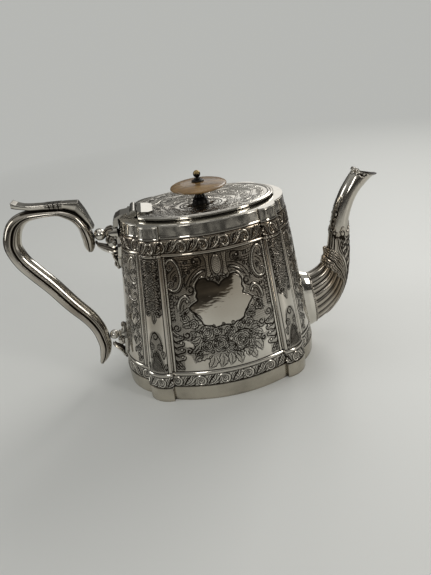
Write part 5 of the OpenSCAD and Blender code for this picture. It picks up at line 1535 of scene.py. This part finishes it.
# Each scroll: its points as x and z, its thickness along them, and how far off the middle it lies
UPPER_SCROLLS = (
    (curl(-65.6, 115.4, 3.0, 100, 460, 0.22), (0.9, 1.3, 1.1, 0.8, 0.5), (2.6, -2.6)),
    (pairs((-76.4, 115.2, -75.2, 113.2, -71.6, 111.1, -68, 109.4, -64.8, 107.4, -63, 104)),
     (0.45, 0.85, 1.3, 1.5, 1.5, 1.0), (1.3, -1.3)),
    (curl(-64.9, 105.4, 2.3, 60, -440, 0.22), (0.8, 1.1, 0.8, 0.45), (2.2, -2.2)),
    (pairs((-64.6, 103.6, -66, 100, -65, 97, -65.9, 93.6)), (1.1, 1.4, 1.1, 0.5), (0,)),
    (curl(-65.3, 96.2, 1.7, 120, 400, 0.3), (0.8, 0.9, 0.6, 0.4), (1.2, -1.2)),
    (pairs((-69.2, 120.6, -66.4, 122.6, -63.4, 123)), (0.7, 1.2, 1.3), (2.2, -2.2)))
LOWER_SCROLLS = (
    (curl(-74.6, 33.6, 2.6, 100, 440, 0.22), (0.8, 1.1, 0.9, 0.5), (2.2, -2.2)),
    (pairs((-82.4, 30.8, -81.4, 29, -79, 26.8, -76.8, 23.2, -75.9, 19.6, -76.2, 15.6)),
     (0.4, 0.8, 1.15, 1.3, 1.1, 0.5), (1.0, -1.0)),
    (curl(-76.2, 19.6, 1.8, 60, -420, 0.25), (0.7, 0.9, 0.7, 0.4), (1.7, -1.7)),
    (pairs((-75.2, 38.6, -73.4, 42, -72.6, 45, -71.4, 47)), (1.0, 1.1, 0.8, 0.5), (0,)),
    (curl(-72.9, 45.2, 1.6, -60, 400, 0.3), (0.7, 0.8, 0.6, 0.35), (1.1, -1.1)))


def rope(path, thick, off):
    """The rings of a lobed rope that changes its thickness along its path."""
    p = curve(path, 0.3)
    r = np.interp(np.linspace(0, 1, len(p)), np.linspace(0, 1, len(thick)), thick)
    a = np.linspace(0, 2 * np.pi, ROPE_SIDES, endpoint=False)
    lobed = r[:, None] * (1 + 0.13 * np.cos(LOBES * a))
    return swept(p, across(np.gradient(p, axis=0)), lobed * np.cos(a), off - lobed * np.sin(a))


def scrolls_piece(name, scrolls):
    ropes = [rope(path, thick, off) for path, thick, offs in scrolls for off in offs]
    points = np.vstack(ropes)
    # nothing joins one rope's end to the next one's start
    keep = np.ones(points.shape[:2], bool)
    last = np.cumsum([len(r) for r in ropes])
    keep[last - 1] = False
    keep[last - [len(r) for r in ropes]] = False
    old = patina(points[..., 0] * 4, points[..., 2] * 3, 1.0)
    grooved = 0.5 - 0.5 * np.cos(2 * np.pi * LOBES * np.arange(ROPE_SIDES) / ROPE_SIDES)
    grid_piece(name, points, 0.7 * grooved + 0.25 * old, 0.25 + 0.5 * old, "pot", "cast_silver", keep=keep)


camera()
studio()
floor()
dress_frame()
body_skins()
lid_skin()
spout_piece()
leaf_piece()
handle_piece()
grip_piece()
scrolls_piece("upper_scrolls", UPPER_SCROLLS)
scrolls_piece("lower_scrolls", LOWER_SCROLLS)
